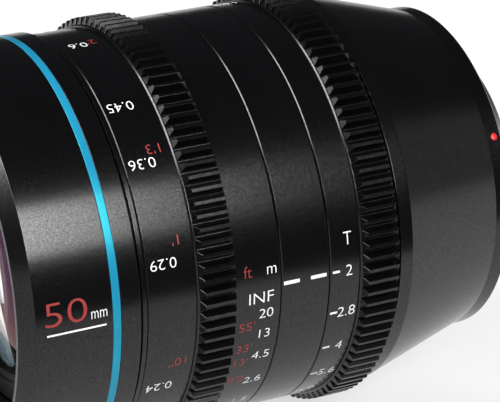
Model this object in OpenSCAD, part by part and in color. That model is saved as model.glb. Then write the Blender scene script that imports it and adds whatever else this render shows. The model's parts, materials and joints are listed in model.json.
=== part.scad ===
// Cinema prime lens with geared focus and iris rings and a three-lug bayonet mount.
// Every piece is turned along the optical axis, from the mount flange (zero) to the
// front. It is then laid level: the front looks along -X, the index side faces -Y
// and +Z is up.

/* [Rings] */
// Outside diameter of the focus, index and iris rings
barrel_d = 83.4; // [76:0.2:92]
// Wall of the focus, index and iris rings, as a share of the room around the guide tube
ring_wall_share = 0.3; // [0.26:0.01:0.32]
// Diameter of the front clamp-on band
front_d = 85; // [77:0.2:94]
// Chamfer on the outer edges
edge = 0.3; // [0.1:0.05:0.5]
// Gap between neighbouring rings
seam = 0.35; // [0.25:0.05:0.5]

/* [Lengths along the axis] */
// Rear rim ahead of the mount flange plane
rim_setback = 0.5; // [0.3:0.1:1]
// Straight rim at the rear
rim_len = 3.4; // [3:0.1:5]
// Conical part of the rear barrel
cone_len = 24.1; // [22:0.1:30]
// Straight collar behind the iris ring
collar_len = 2.7; // [2.6:0.1:5]
// Iris gear
iris_gear_w = 8.4; // [8:0.1:10]
// Iris scale band
iris_scale_w = 7.1; // [6.5:0.1:10]
// Index barrel
index_w = 10.4; // [10:0.1:14]
// Far scale band of the focus ring
far_scale_w = 9.65; // [9:0.05:14]
// Focus gear
focus_gear_w = 8.1; // [8:0.1:10]
// Near scale band of the focus ring
near_scale_w = 10.5; // [10:0.1:14]
// Stepped lip at the front of the focus ring
lip_w = 1; // [0.8:0.1:1.5]
// Front barrel behind the accent ring
front_tail_w = 4.6; // [4:0.1:7]
// Accent ring
accent_w = 2.05; // [1.5:0.05:3]
// Front clamp-on band
clamp_w = 15.5; // [15:0.1:20]
// Front bevel along the axis
bevel_w = 2.5; // [1.5:0.1:3]

/* [Gears] */
// Gear module
gear_module = 0.8; // [0.6:0.1:1]
// Flank angle of the teeth
flank_angle = 20; // [14:1:22]
// Lean of the tooth ends along the axis
tooth_lean = 0.7; // [0.3:0.1:1.2]

/* [Rear barrel and mount] */
// Diameter of the rear rim
rim_d = 69.6; // [69:0.2:73]
// Wall of the rear barrel
rear_wall = 2.2; // [1.8:0.1:2.4]
// Diameter of the mount flange
flange_d = 65; // [64:0.1:65.4]
// Thickness of the mount flange
flange_t = 2.2; // [2:0.1:2.6]
// Thickness of the shim behind the flange
shim_t = 0.3; // [0.1:0.05:0.5]
// Outside diameter of the mount spigot
spigot_d = 51; // [50:0.2:52]
// Wall of the mount spigot
spigot_wall = 3; // [2:0.1:3.5]
// Length of the mount spigot
spigot_len = 6; // [5.5:0.1:7]
// Diameter across the bayonet lugs
lug_d = 53.8; // [53:0.1:54]
// Thickness of a lug
lug_t = 1.5; // [1.2:0.1:1.8]
// Gap between the flange and a lug
lug_gap = 1.9; // [1.6:0.1:2.2]
// Angle that a lug covers
lug_angle = 52; // [40:1:56]
// Number of mount screws
mount_screw_count = 4; // [3:1:4]
// Diameter of the lock pin hole
lock_hole_d = 3.5; // [3:0.1:4]
// Depth of the lock pin hole
lock_hole_depth = 1.7; // [1.2:0.1:1.8]
// Diameter of the red mounting dot
dot_d = 1.8; // [1.4:0.1:2.2]
// Angle of the mounting dot above the index side
dot_angle = 30; // [20:1:40]

/* [Guide tube and focus] */
// Outside diameter of the guide tube, as a share of the ring diameter
tube_share = 0.7914; // [0.775:0.0001:0.8]
// Wall of the guide tube
tube_wall = 2; // [1.8:0.1:2.3]
// Wall of the focus cam, as a share of the room around the guide tube
cam_wall_share = 0.32; // [0.3:0.01:0.34]
// Turn of the focus ring
focus_throw = 250; // [180:1:270]
// Travel of the focusing group
focus_travel = 14; // [11:0.1:14.4]
// Diameter of a cam follower
follower_d = 3.2; // [2.6:0.1:3.6]

/* [Glass] */
// Front elements, as a share of the bore of the guide tube
front_glass_share = 0.871; // [0.78:0.005:0.9]
// Focusing elements, as a share of the bore of the guide tube
focus_glass_share = 0.58; // [0.52:0.005:0.61]
// Rear elements, as a share of the bore of the guide tube
rear_glass_share = 0.55; // [0.49:0.005:0.58]
// Filter thread, as a share of the diameter of the front band
filter_share = 0.9059; // [0.894:0.0001:0.91]
// Depth of the filter thread
filter_depth = 5; // [4:0.1:5.5]

/* [Iris] */
// Full opening, as a share of the bore of the guide tube
iris_open_share = 0.403; // [0.37:0.001:0.413]
// Thickness of a blade
blade_t = 0.15; // [0.1:0.01:0.18]
// Turn of the iris ring
iris_throw = 76.8; // [60:0.1:80]
// Turn of a blade
blade_throw = 31.5; // [24:0.1:32]

/* [Fits] */
// Running clearance between sliding and turning pieces
run_fit = 0.1; // [0.06:0.01:0.15]
// Clearance of pieces that are seated in one another
seat_fit = 0.04; // [0.02:0.01:0.06]

/* [Hidden] */
$fn = 96;
glass_fn = 280;
ring_r = barrel_d / 2;
collar_step = 0.1;
collar_r = ring_r + collar_step;
front_r = front_d / 2;
rim_r = rim_d / 2;
tube_r = tube_share * ring_r;
tube_in = tube_r - tube_wall;
thread_step = 0.8;
thread_r = tube_r - thread_step;
web_t = 2.5;
lock_t = 3;

// Room between the guide tube and the outside of the rings
room = ring_r - tube_r;
ring_wall = ring_wall_share * room;
ring_in = ring_r - ring_wall;
cam_wall = cam_wall_share * room;
cam_in = tube_r + run_fit;
cam_r = cam_in + cam_wall;
ring_gap = ring_in - cam_r;

// Overcut of a hole past the face it opens in, a hair's breadth and the air between loose pieces
over = 1;
hair = 0.01;
air = 0.3;

z_rim1 = rim_setback + rim_len;
z_cone1 = z_rim1 + cone_len;
z_collar1 = z_cone1 + collar_len;
z_iris0 = z_collar1 + seam;
iris_tail = 0.3;
z_iris_gear0 = z_iris0 + iris_tail;
z_iris_gear1 = z_iris_gear0 + iris_gear_w;
z_iris1 = z_iris_gear1 + iris_scale_w;
z_index0 = z_iris1 + seam;
z_index1 = z_index0 + index_w;
z_focus0 = z_index1 + seam;
z_focus_gear0 = z_focus0 + far_scale_w;
z_focus_gear1 = z_focus_gear0 + focus_gear_w;
z_focus1 = z_focus_gear1 + near_scale_w;
z_lip1 = z_focus1 + lip_w;
z_front0 = z_lip1 + seam;
z_accent0 = z_front0 + front_tail_w;
z_accent1 = z_accent0 + accent_w;
z_bevel = z_accent1 + clamp_w;
z_front1 = z_bevel + bevel_w;

// Gears: the tooth roots stand just clear of the ring surface
dedendum = 1.25;
root_rise = 0.05;
gear_teeth = ceil((barrel_d + 2 * dedendum * gear_module) / gear_module + root_rise);
pitch_r = gear_module * gear_teeth / 2;
tip_r = pitch_r + gear_module;
root_r = pitch_r - dedendum * gear_module;
lean_start = 0.15;
lean_in = root_r + lean_start;
lean_out = tip_r + air;
lean_w = tooth_lean * (lean_out - lean_in) / (tip_r - lean_in);
quarter_pitch = PI * gear_module / 4;
tip_half = (quarter_pitch - gear_module * tan(flank_angle)) / tip_r * 180 / PI;
root_half = (quarter_pitch + dedendum * gear_module * tan(flank_angle)) / root_r * 180 / PI;

// Mount and rear barrel
flange_r = flange_d / 2;
spigot_r = spigot_d / 2;
spigot_in = spigot_r - spigot_wall;
lug_r = lug_d / 2;
relief_r = lug_r + air;
relief_depth = 0.3;
z_seat = flange_t + shim_t;
shim_inset = 0.1;
seat_t = 2.5;
seat_in = relief_r;
mount_screw_r = (relief_r + flange_r) / 2;
mount_screw_angle = 45;
lock_hole_angle = 90;
baffle_t = 1;
baffle_sink = 0.5;
z_baffle = baffle_sink - spigot_len;
baffle_w = 32;
baffle_h = 24;
dot_z = rim_setback + rim_len / 2;
dot_depth = 1.2;
dot_rise = 0.15;

// Curves of the glass faces in rim radii, bulging faces positive
el1_curve = [2.4, -7.4];
el2_curve = [2.8, -1.55];
el3_curve = [3.9, 2.8];
el4_curve = [-2.8, -5];
el5_curve = [3.3, 2.7];
el6_curve = [-3.5, -4.7];
el7_curve = [5.9, -2.4];
el8_curve = [2.4, 3.5];
el9_curve = [3.2, -7];

// Small countersunk screws, as large as the gap around the focus cam takes
screw_head_r = 0.47 * ring_gap;
screw_r = 0.55 * screw_head_r;
screw_head_t = screw_head_r - screw_r;
slot_len = 1.2 * screw_head_r;
slot_w = 0.3 * screw_head_r;
slot_depth = 0.25 * screw_head_r;
screw_short = 0.3;

// Guide tube
z_rear_web0 = z_collar1 - web_t;
z_rear_lock0 = z_rear_web0 - lock_t;
tube_tail = 9;
cone_in = collar_r - rear_wall;
cone_rise = (z_rear_web0 - z_seat - seat_t) / (collar_r - rim_r);
z_tail_clear = z_rear_web0 - (cone_in - tube_r) * cone_rise;
z_tube0 = max(z_rear_lock0 - tube_tail, z_tail_clear);
flange_ahead = 3;
z_flange0 = z_index0 + flange_ahead;
z_flange1 = z_flange0 + web_t;
z_index_web1 = z_flange1 + web_t;
flange_gap = 0.5;
mid_flange_r = ring_in - flange_gap;
index_screw_r = (tube_r + mid_flange_r) / 2;
index_screw_count = 3;
index_screw_angle = 30;
z_front_web1 = z_front0 + web_t;
z_front_lock1 = z_front_web1 + lock_t;
tube_lip = 0.4;
z_tube1 = z_front_lock1 + tube_lip;
lock_r = tube_r + 0.37 * room;
notch_w = 3;
notch_depth = 1;
rib_t = 2;
rib_in = tube_in - rib_t;
rib_ahead = 4;
z_rib1 = z_iris0 + rib_ahead;
z_rib0 = z_rib1 - rib_t;

// Focus cam
washer_t = 0.4;
washer_gap = 0.05;
z_cam0 = z_index_web1 + washer_t + 2 * washer_gap;
z_cam1 = z_front0 - washer_t - 2 * washer_gap;
z_cam_flange1 = z_focus1 - web_t;
z_cam_flange0 = z_cam_flange1 - web_t;
cam_screw_count = 6;
cam_screw_r = (cam_r + ring_in) / 2;
washer_r = cam_screw_r - screw_head_r - air;
groove_r = cam_in + 0.7 * cam_wall;
groove_w = follower_d + 2 * run_fit;
end_angle = 0.3;
groove_end = (follower_d / 2 + run_fit) / cam_in * 180 / PI + end_angle;
groove_steps = 44;
follower_count = 3;
stop_r = 0.27 * ring_gap;
focus_stop_r = (cam_r + ring_in) / 2;
focus_stop_angle = 200;
stop_depth = 2.4;
stop_floor = 0.4;
z_focus_web1 = z_focus0 + stop_depth + stop_floor;
stop_end = (stop_r + run_fit) / focus_stop_r * 180 / PI + end_angle;

// Focusing group at infinity
follower_ahead = 4.3;
z_follower = z_cam0 + follower_ahead;
follower_seat = 2;
carriage_r = tube_in - run_fit;
band_t = 2;
band_len = 16;
cell_wall = 2.1;
focus_glass_r = focus_glass_share * tube_in;
focus_cell_r = focus_glass_r + seat_fit + cell_wall;
carriage_web_t = follower_d + 2 * cell_wall;
lip_t = 1.2;
lip_depth = 1.5;
cell_back = 10;
z_cell0 = z_follower - cell_back;
z_el5 = z_cell0 + lip_t;
el5_edge = 2;
carriage_gap = 3.8;
z_el4 = z_el5 + el5_edge + carriage_gap;
el4_edge = 6.6;
z_el3 = z_el4 + el4_edge;
el3_edge = 1.8;
z_carriage_ring = z_el3 + el3_edge;
retainer_t = 2;
retainer_w = 1.6;
retainer_sink = 0.3;
z_cell1 = z_carriage_ring + retainer_t + retainer_sink;

// Front group
front_glass_r = front_glass_share * tube_in;
front_cell_r = tube_in - seat_fit;
front_cell_back = 8.5;
z_front_cell0 = z_tube1 - front_cell_back;
z_el2 = z_front_cell0 + lip_t;
el2_edge = 6.5;
front_gap = 4.3;
z_el1 = z_el2 + el2_edge + front_gap;
el1_edge = 2;
z_front_ring = z_el1 + el1_edge;
z_front_cell1 = z_front_ring + retainer_t + retainer_sink;
front_flange_t = 2;
accent_t = 1.3;
sleeve_r = front_r - accent_t;
sleeve_wall = 2.8;
sleeve_in = sleeve_r - sleeve_wall;
sleeve_len = 8.6;
z_sleeve1 = z_accent0 + sleeve_len;
sleeve_gap = 0.2;
front_lock_w = 2;
front_lock_r = thread_r + front_lock_w;
front_flange_w = 1.6;
front_flange_r = thread_r + front_flange_w;
filter_r = filter_share * front_r;
z_filter0 = z_front1 - filter_depth;
filter_step = 1.2;
trim_r = filter_r - filter_step;
trim_wall = 0.3;
trim_steps = 6;
z_trim0 = max(z_sleeve1, z_front_cell1) + air;
trim_in = 0.838 * trim_r;
bevel_depth = 0.75 * (front_r - filter_r);

// Rear group
rear_glass_r = rear_glass_share * tube_in;
rear_cell_r = rear_glass_r + seat_fit + cell_wall;
z_rear_cell1 = z_rib0;
el6_edge = 6;
z_el6 = z_rear_cell1 - lip_t - el6_edge;
rear_gap_a = 3;
el7_edge = 3.6;
z_el7 = z_el6 - rear_gap_a - el7_edge;
el8_edge = 2;
z_el8 = z_el7 - el8_edge;
rear_gap_b = 6;
el9_edge = 3;
z_el9 = z_el8 - rear_gap_b - el9_edge;
z_rear_ring = z_el9 - retainer_t;
rear_cell_lip = 0.6;
z_rear_cell0 = z_rear_ring - rear_cell_lip;
rear_web_t = 4;

// Iris unit
blade_count = 9;
iris_wall = 1.5;
iris_r = tube_in - seat_fit;
iris_in = iris_r - iris_wall;
iris_open_r = iris_open_share * tube_in;
iris_base_t = 1.8;
layer_gap = 0.1;
z_blades = z_rib1 + iris_base_t + layer_gap;
blade_pitch = blade_t + layer_gap;
z_drive0 = z_blades + blade_count * blade_pitch + layer_gap;
drive_t = 2.4;
z_cover0 = z_drive0 + drive_t + 2 * layer_gap;
cover_t = 1;
cover_inset = 2;
z_iris_lock0 = z_cover0 + cover_t;
iris_lock_t = 2.5;
pivot_r = 0.661 * tube_in;
pivot_pin_r = 0.02 * tube_in;
ear_r = 0.048 * tube_in;
blade_out_r = pivot_r - ear_r - 0.7;
blade_span = 122;
lever_x = -0.026 * tube_in;
lever_y = -0.29 * tube_in;
lever_half = 0.7 * ear_r;
drive_pin_r = 0.0145 * tube_in;
drive_slot_r = drive_pin_r + run_fit;
drive_end_r = 1.06 * drive_slot_r;
drive_pin_top = z_drive0 + drive_t / 2 - z_blades;
drive_steps = 24;
drive_in = 0.632 * tube_in;
drive_r = iris_in - 2 * run_fit;
link_r = 0.8;
link_angle = 60;
link_len_in = 2.2;
link_len_out = 0.39 * room;
z_link = z_drive0 + drive_t / 2;
hub_back = 4;
z_hub0 = z_link - hub_back;
window_h = 2 * (link_r + air);
window_end = (link_r + air) / iris_in * 180 / PI + end_angle;
iris_stop_r = (tube_r + ring_in) / 2;
iris_stop_angle = 250;
iris_stop_end = (stop_r + run_fit) / iris_stop_r * 180 / PI + end_angle;

// Turns a piece from the optical axis to the level frame
module lay() {
  rotate([90, 0, -90]) children();
}

// Turned solid from radius and height pairs
module turned(points) {
  rotate_extrude() polygon(points);
}

// Plain ring
module band(z0, z1, r_out, r_in) {
  turned([[r_in, z0], [r_out, z0], [r_out, z1], [r_in, z1]]);
}

// Part of a plain ring, from an angle and over a span
module arc_band(z0, z1, r_out, r_in, from, span) {
  rotate(from)
    rotate_extrude(angle = span)
      polygon([[r_in, z0], [r_out, z0], [r_out, z1], [r_in, z1]]);
}

// Plain disc bore
module bore(z0, z1, r) {
  translate([0, 0, z0]) cylinder(r = r, h = z1 - z0);
}

// Repeats a piece around the axis
module around(count, from) {
  for (i = [0 : count - 1]) rotate(from + i * 360 / count) children();
}

// Countersunk screw along the axis, head face at zero, shank into +z
module flat_screw(len) {
  difference() {
    union() {
      cylinder(r1 = screw_head_r, r2 = screw_r, h = screw_head_t);
      cylinder(r = screw_r, h = len);
    }
    cross_slot();
  }
}

// Crossed drive recess of a screw head
module cross_slot() {
  for (a = [0, 90])
    rotate(a)
      translate([-slot_len / 2, -slot_w / 2, -slot_depth])
        cube([slot_len, slot_w, 2 * slot_depth]);
}

// Clearance for a countersunk screw
module flat_screw_hole(len) {
  translate([0, 0, -hair])
    cylinder(r1 = screw_head_r + seat_fit + hair, r2 = screw_r + seat_fit, h = screw_head_t + hair);
  translate([0, 0, -hair]) cylinder(r = screw_r + seat_fit, h = len + hair);
}

// Height of a spherical cap
function sag(r, h) = r - sqrt(r * r - h * h);

// Ball on the axis that gives a glass face its curve
module glass_ball(z, r) {
  translate([0, 0, z]) sphere(r = r, $fn = glass_fn);
}

// Glass element by its rim: bulging faces have a positive radius, hollow ones a negative one
module element(r, z0, rim_w, curve) {
  face_front = curve[0] * r;
  face_rear = curve[1] * r;
  sag_front = sag(abs(face_front), r);
  sag_rear = sag(abs(face_rear), r);
  z_top = z0 + rim_w + max(0, sign(face_front)) * sag_front;
  z_bottom = z0 - max(0, sign(face_rear)) * sag_rear;
  difference() {
    intersection() {
      bore(z_bottom, z_top, r);
      if (face_front > 0) glass_ball(z_top - face_front, face_front);
      if (face_rear > 0) glass_ball(z_bottom + face_rear, face_rear);
    }
    if (face_front < 0) glass_ball(z_top - sag_front - face_front, -face_front);
    if (face_rear < 0) glass_ball(z_bottom + sag_rear + face_rear, -face_rear);
  }
}

// Bevel that a ring on a glass rim needs to clear a bulging face
function seat_rise(curve, r) =
  curve > 0 ? sag(curve * r, r) - sag(curve * r, r - retainer_w) + 2 * hair : 0;

// Ring that sits on glass rims, with bevels for the faces behind and ahead of it
module glass_ring(z0, z1, r, curve_behind, curve_ahead) {
  turned([
    [r - retainer_w, z0 + seat_rise(curve_behind, r)], [r, z0], [r, z1],
    [r - retainer_w, z1 - seat_rise(curve_ahead, r)]
  ]);
}

// Gear teeth around the axis
function tooth_point(r, a) = [r * cos(a), r * sin(a)];
function gear_outline() = [
  for (i = [0 : gear_teeth - 1])
    let (a = i * 360 / gear_teeth)
      for (p = [[root_r, -root_half], [tip_r, -tip_half], [tip_r, tip_half], [root_r, root_half]])
        tooth_point(p[0], a + p[1])
];
module gear_band(z0, z1) {
  intersection() {
    translate([0, 0, z0])
      linear_extrude(z1 - z0)
        difference() {
          polygon(gear_outline());
          circle(r = ring_r - ring_wall / 2);
        }
    turned([
      [0, z0], [lean_in, z0], [lean_out, z0 + lean_w], [lean_out, z1 - lean_w], [lean_in, z1], [0, z1]
    ]);
  }
}

// Notches for a spanner on the front or rear face of a lock ring
module spanner_notches(z, r_in, r_out) {
  for (a = [0, 180])
    rotate(a)
      translate([r_in - over / 2, -notch_w / 2, z - notch_depth])
        cube([r_out - r_in + over, notch_w, 2 * notch_depth]);
}

// Straight pin from the axis outwards, at a height and angle
module radial_pin(angle, z, r_from, r_to, r) {
  rotate(angle)
    translate([r_from, 0, z])
      rotate([0, 90, 0])
        cylinder(r = r, h = r_to - r_from);
}

// Mount

module mount_flange() {
  color("silver")
  difference() {
    union() {
      band(0, flange_t, flange_r, spigot_in);
      band(-spigot_len, flange_t, spigot_r, spigot_in);
      for (i = [0 : 2])
        arc_band(-lug_gap - lug_t, -lug_gap, lug_r, spigot_r - spigot_wall / 2, i * 120, lug_angle);
    }
    band(-lug_gap / 2, relief_depth, relief_r, spigot_r);
    around(mount_screw_count, mount_screw_angle)
      translate([mount_screw_r, 0, 0]) flat_screw_hole(flange_t + over);
    rotate(lock_hole_angle)
      translate([mount_screw_r, 0, -over])
        cylinder(d = lock_hole_d, h = lock_hole_depth + over);
  }
}

module mount_screws() {
  color("gainsboro")
  around(mount_screw_count, mount_screw_angle)
    translate([mount_screw_r, 0, 0]) flat_screw(z_seat + seat_t - screw_short);
}

module mount_shim() {
  color("goldenrod")
  difference() {
    band(flange_t, z_seat, flange_r - shim_inset, seat_in);
    around(mount_screw_count, mount_screw_angle)
      translate([mount_screw_r, 0, flange_t - over]) cylinder(r = screw_r + seat_fit, h = shim_t + 2 * over);
  }
}

module mount_dot() {
  color("red")
  rotate(dot_angle)
    translate([rim_r - dot_depth, 0, dot_z])
      rotate([0, 90, 0])
        intersection() {
          cylinder(d = dot_d, h = dot_depth + dot_rise);
          translate([0, 0, dot_depth + dot_rise - dot_d]) sphere(r = dot_d);
        }
}

module rear_baffle() {
  color("dimgray")
  difference() {
    bore(z_baffle, z_baffle + baffle_t, spigot_in - seat_fit);
    translate([-baffle_w / 2, -baffle_h / 2, z_baffle - over])
      cube([baffle_w, baffle_h, baffle_t + 2 * over]);
  }
}

// Rear barrel and guide tube

module rear_barrel() {
  color("dimgray")
  difference() {
    turned([
      [flange_r + seat_fit, rim_setback],
      [rim_r - edge, rim_setback],
      [rim_r, rim_setback + edge],
      [rim_r, z_rim1],
      [collar_r, z_cone1],
      [collar_r, z_collar1 - edge],
      [collar_r - edge, z_collar1],
      [thread_r + seat_fit, z_collar1],
      [thread_r + seat_fit, z_rear_web0],
      [cone_in, z_rear_web0],
      [rim_r - rear_wall, z_seat + seat_t],
      [seat_in, z_seat + seat_t],
      [seat_in, z_seat],
      [flange_r + seat_fit, z_seat]
    ]);
    around(mount_screw_count, mount_screw_angle)
      translate([mount_screw_r, 0, 0]) cylinder(r = screw_r + seat_fit, h = z_seat + seat_t + over);
    radial_pin(dot_angle, dot_z, rim_r - dot_depth, rim_r + over, dot_d / 2 + seat_fit);
  }
}

module rear_lock_ring() {
  color("black")
  difference() {
    band(z_rear_lock0, z_rear_web0, lock_r, thread_r + seat_fit);
    spanner_notches(z_rear_lock0, thread_r, lock_r);
  }
}

module guide_tube() {
  color("gray")
  difference() {
    turned([
      [tube_in, z_tube0],
      [thread_r, z_tube0],
      [thread_r, z_collar1],
      [tube_r, z_collar1],
      [tube_r, z_flange0],
      [mid_flange_r, z_flange0],
      [mid_flange_r, z_flange1],
      [tube_r, z_flange1],
      [tube_r, z_front0],
      [thread_r, z_front0],
      [thread_r, z_tube1],
      [tube_in, z_tube1],
      [tube_in, z_rib1],
      [rib_in, z_rib1],
      [rib_in, z_rib0],
      [tube_in, z_rib0]
    ]);
    around(follower_count, 0) guide_slot();
    arc_band(
      z_link - window_h / 2, z_link + window_h / 2, tube_r + over, tube_in - over,
      link_angle - window_end, iris_throw + 2 * window_end
    );
    around(index_screw_count, index_screw_angle)
      translate([index_screw_r, 0, z_flange0 - over])
        cylinder(r = screw_r + seat_fit, h = web_t + 2 * over);
    rotate(iris_stop_angle)
      translate([iris_stop_r, 0, z_flange0 - over])
        cylinder(r = stop_r + seat_fit, h = web_t + 2 * over);
  }
}

// Straight slot that keeps a cam follower from turning
module guide_slot() {
  for (z = [z_follower, z_follower + focus_travel])
    radial_pin(0, z, tube_in - over, tube_r + over, groove_w / 2);
  translate([tube_in - over, -groove_w / 2, z_follower])
    cube([tube_wall + 2 * over, groove_w, focus_travel]);
}

// Rear group

module rear_cell() {
  color("black")
  turned([
    [rear_glass_r + seat_fit, z_rear_cell0],
    [rear_cell_r, z_rear_cell0],
    [rear_cell_r, z_rear_lock0 - rear_web_t],
    [tube_in - seat_fit - band_t, z_rear_lock0 - rear_web_t],
    [tube_in - seat_fit - band_t, z_tube0 + lock_t],
    [tube_in - seat_fit, z_tube0 + lock_t],
    [tube_in - seat_fit, z_rib0],
    [tube_in - seat_fit - band_t, z_rib0],
    [tube_in - seat_fit - band_t, z_rear_lock0],
    [rear_cell_r, z_rear_lock0],
    [rear_cell_r, z_rear_cell1],
    [rear_glass_r - lip_depth, z_rear_cell1],
    [rear_glass_r - lip_depth, z_rear_cell1 - lip_t],
    [rear_glass_r + seat_fit, z_rear_cell1 - lip_t]
  ]);
}

module rear_cell_lock_ring() {
  color("black")
  difference() {
    band(z_tube0 + tube_lip, z_tube0 + lock_t, tube_in - seat_fit, tube_in - seat_fit - band_t);
    spanner_notches(z_tube0 + tube_lip, tube_in - seat_fit - band_t, tube_in - seat_fit);
  }
}

module rear_retaining_ring() {
  color("black")
  difference() {
    glass_ring(z_rear_ring, z_el9, rear_glass_r, 0, el9_curve[1]);
    spanner_notches(z_rear_ring, rear_glass_r - retainer_w, rear_glass_r);
  }
}

module rear_spacer_front() {
  color("black")
  glass_ring(z_el7 + el7_edge, z_el6, rear_glass_r, el7_curve[0], el6_curve[1]);
}

module rear_spacer_rear() {
  color("black")
  glass_ring(z_el9 + el9_edge, z_el8, rear_glass_r, el9_curve[0], el8_curve[1]);
}

module element_6() {
  color("lightblue")
  element(rear_glass_r, z_el6, el6_edge, el6_curve);
}

module element_7() {
  color("lightblue")
  element(rear_glass_r, z_el7, el7_edge, el7_curve);
}

module element_8() {
  color("lightblue")
  element(rear_glass_r, z_el8, el8_edge, el8_curve);
}

module element_9() {
  color("lightblue")
  element(rear_glass_r, z_el9, el9_edge, el9_curve);
}

// Iris

module iris_housing() {
  color("black")
  difference() {
    union() {
      turned([
        [iris_open_r, z_rib1],
        [iris_r, z_rib1],
        [iris_r, z_cover0],
        [iris_in, z_cover0],
        [iris_in, z_rib1 + iris_base_t],
        [iris_open_r, z_rib1 + iris_base_t]
      ]);
      around(blade_count, 0)
        translate([pivot_r, 0, z_rib1])
          cylinder(r = pivot_pin_r, h = z_drive0 - z_rib1 - layer_gap);
    }
    arc_band(
      z_link - window_h / 2, z_link + window_h / 2, iris_r + over, iris_in - over,
      link_angle - window_end, iris_throw + 2 * window_end
    );
  }
}

module iris_cover() {
  color("black")
  band(z_cover0, z_iris_lock0, iris_r, iris_open_r + cover_inset);
}

module iris_lock_ring() {
  color("black")
  difference() {
    band(z_iris_lock0, z_iris_lock0 + iris_lock_t, iris_r, iris_r - band_t);
    spanner_notches(z_iris_lock0 + iris_lock_t, iris_r - band_t, iris_r);
  }
}

// Place of a blade's drive pin, seen from the drive ring, at a turn of the ring
function turned_point(p, a) = [p[0] * cos(a) - p[1] * sin(a), p[0] * sin(a) + p[1] * cos(a)];
function drive_point(turn) =
  turned_point(
    [pivot_r, 0] + turned_point([lever_x, lever_y], turn * blade_throw / iris_throw), -turn
  );
function drive_side(turn, offset) =
  let (
    p = drive_point(turn),
    d = drive_point(turn + end_angle) - drive_point(turn - end_angle),
    n = [-d[1], d[0]] / norm(d)
  ) p + n * offset;

// Spiral slot of the drive ring
module drive_slot() {
  step = iris_throw / drive_steps;
  polygon(concat(
    [for (i = [0 : drive_steps]) drive_side(i * step, drive_slot_r)],
    [for (i = [drive_steps : -1 : 0]) drive_side(i * step, -drive_slot_r)]
  ));
  for (turn = [0, iris_throw]) translate(drive_point(turn)) circle(r = drive_end_r);
}

module iris_drive_ring() {
  color("darkgray")
  difference() {
    translate([0, 0, z_drive0])
      linear_extrude(drive_t)
        difference() {
          circle(r = drive_r);
          circle(r = drive_in);
          around(blade_count, 0) drive_slot();
        }
    radial_pin(link_angle, z_link, drive_r - link_len_in, drive_r + over, link_r + seat_fit);
  }
}

module iris_link_pin() {
  color("goldenrod")
  radial_pin(link_angle, z_link, drive_r - link_len_in, tube_r + link_len_out, link_r);
}

// Blade in its own layer, turning about its pivot pin
module blade(index) {
  color("dimgray")
  rotate((index - 1) * 360 / blade_count)
    translate([0, 0, z_blades + (index - 1) * blade_pitch]) {
      linear_extrude(blade_t)
        difference() {
          union() {
            blade_leaf();
            translate([pivot_r, 0]) circle(r = ear_r);
            blade_lever();
            translate([blade_out_r - ear_r, -ear_r / 2])
              square([pivot_r - blade_out_r + ear_r, ear_r]);
          }
          translate([pivot_r, 0]) circle(r = pivot_pin_r + run_fit / 2);
        }
      translate([pivot_r + lever_x, lever_y, 0])
        cylinder(r = drive_pin_r, h = drive_pin_top - (index - 1) * blade_pitch);
    }
}

// Curved leaf that closes the opening
module blade_leaf() {
  difference() {
    circle(r = blade_out_r);
    circle(r = iris_open_r);
    leaf_limit();
  }
}

// Everything outside the span of a leaf
module leaf_limit() {
  far = 2 * blade_out_r;
  polygon([
    [0, 0], [far, 0], [far, -far], [-far, -far], [-far, far * tan(180 - blade_span)]
  ]);
}

// Straight arm from the pivot to the drive pin
module blade_lever() {
  lever = norm([lever_x, lever_y]);
  translate([pivot_r, 0])
    rotate(atan2(lever_y, lever_x))
      translate([0, -lever_half]) square([lever, 2 * lever_half]);
  translate([pivot_r + lever_x, lever_y]) circle(r = lever_half);
}

module iris_ring() {
  color("dimgray")
  difference() {
    union() {
      turned([
        [ring_in, z_iris0],
        [ring_r - edge, z_iris0],
        [ring_r, z_iris0 + edge],
        [ring_r, z_iris1 - edge],
        [ring_r - edge, z_iris1],
        [tube_r + run_fit, z_iris1],
        [tube_r + run_fit, z_hub0],
        [ring_in, z_hub0]
      ]);
      gear_band(z_iris_gear0, z_iris_gear1);
    }
    radial_pin(link_angle, z_link, tube_r - over, tube_r + link_len_out, link_r + seat_fit);
    arc_band(
      z_iris1 - stop_depth, z_iris1 + over,
      iris_stop_r + stop_r + run_fit, iris_stop_r - stop_r - run_fit,
      iris_stop_angle - iris_throw - iris_stop_end, iris_throw + 2 * iris_stop_end
    );
  }
}

module iris_stop_pin() {
  color("goldenrod")
  rotate(iris_stop_angle)
    translate([iris_stop_r, 0, z_iris1 - stop_depth + stop_floor])
      cylinder(r = stop_r, h = z_flange1 - z_iris1 + stop_depth - stop_floor);
}

// Index barrel

module index_barrel() {
  color("dimgray")
  difference() {
    turned([
      [ring_in, z_index0],
      [ring_r - edge, z_index0],
      [ring_r, z_index0 + edge],
      [ring_r, z_index1 - edge],
      [ring_r - edge, z_index1],
      [ring_in, z_index1],
      [ring_in, z_index_web1],
      [tube_r + seat_fit, z_index_web1],
      [tube_r + seat_fit, z_flange1],
      [ring_in, z_flange1]
    ]);
    around(index_screw_count, index_screw_angle)
      translate([index_screw_r, 0, z_index_web1]) mirror([0, 0, 1]) flat_screw_hole(web_t + over);
    rotate(focus_stop_angle)
      translate([focus_stop_r, 0, z_flange1 - over])
        cylinder(r = stop_r + seat_fit, h = web_t + 2 * over);
  }
}

module index_screws() {
  color("gainsboro")
  around(index_screw_count, index_screw_angle)
    translate([index_screw_r, 0, z_index_web1]) mirror([0, 0, 1]) flat_screw(2 * web_t - screw_short);
}

module focus_stop_pin() {
  color("goldenrod")
  rotate(focus_stop_angle)
    translate([focus_stop_r, 0, z_flange1])
      cylinder(r = stop_r, h = z_focus0 + stop_depth - stop_floor - z_flange1);
}

module focus_slip_washers() {
  color("ivory")
  for (z = [z_index_web1 + washer_gap, z_front0 - washer_gap - washer_t])
    band(z, z + washer_t, washer_r, tube_r + run_fit);
}

// Focus ring and cam

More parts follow.
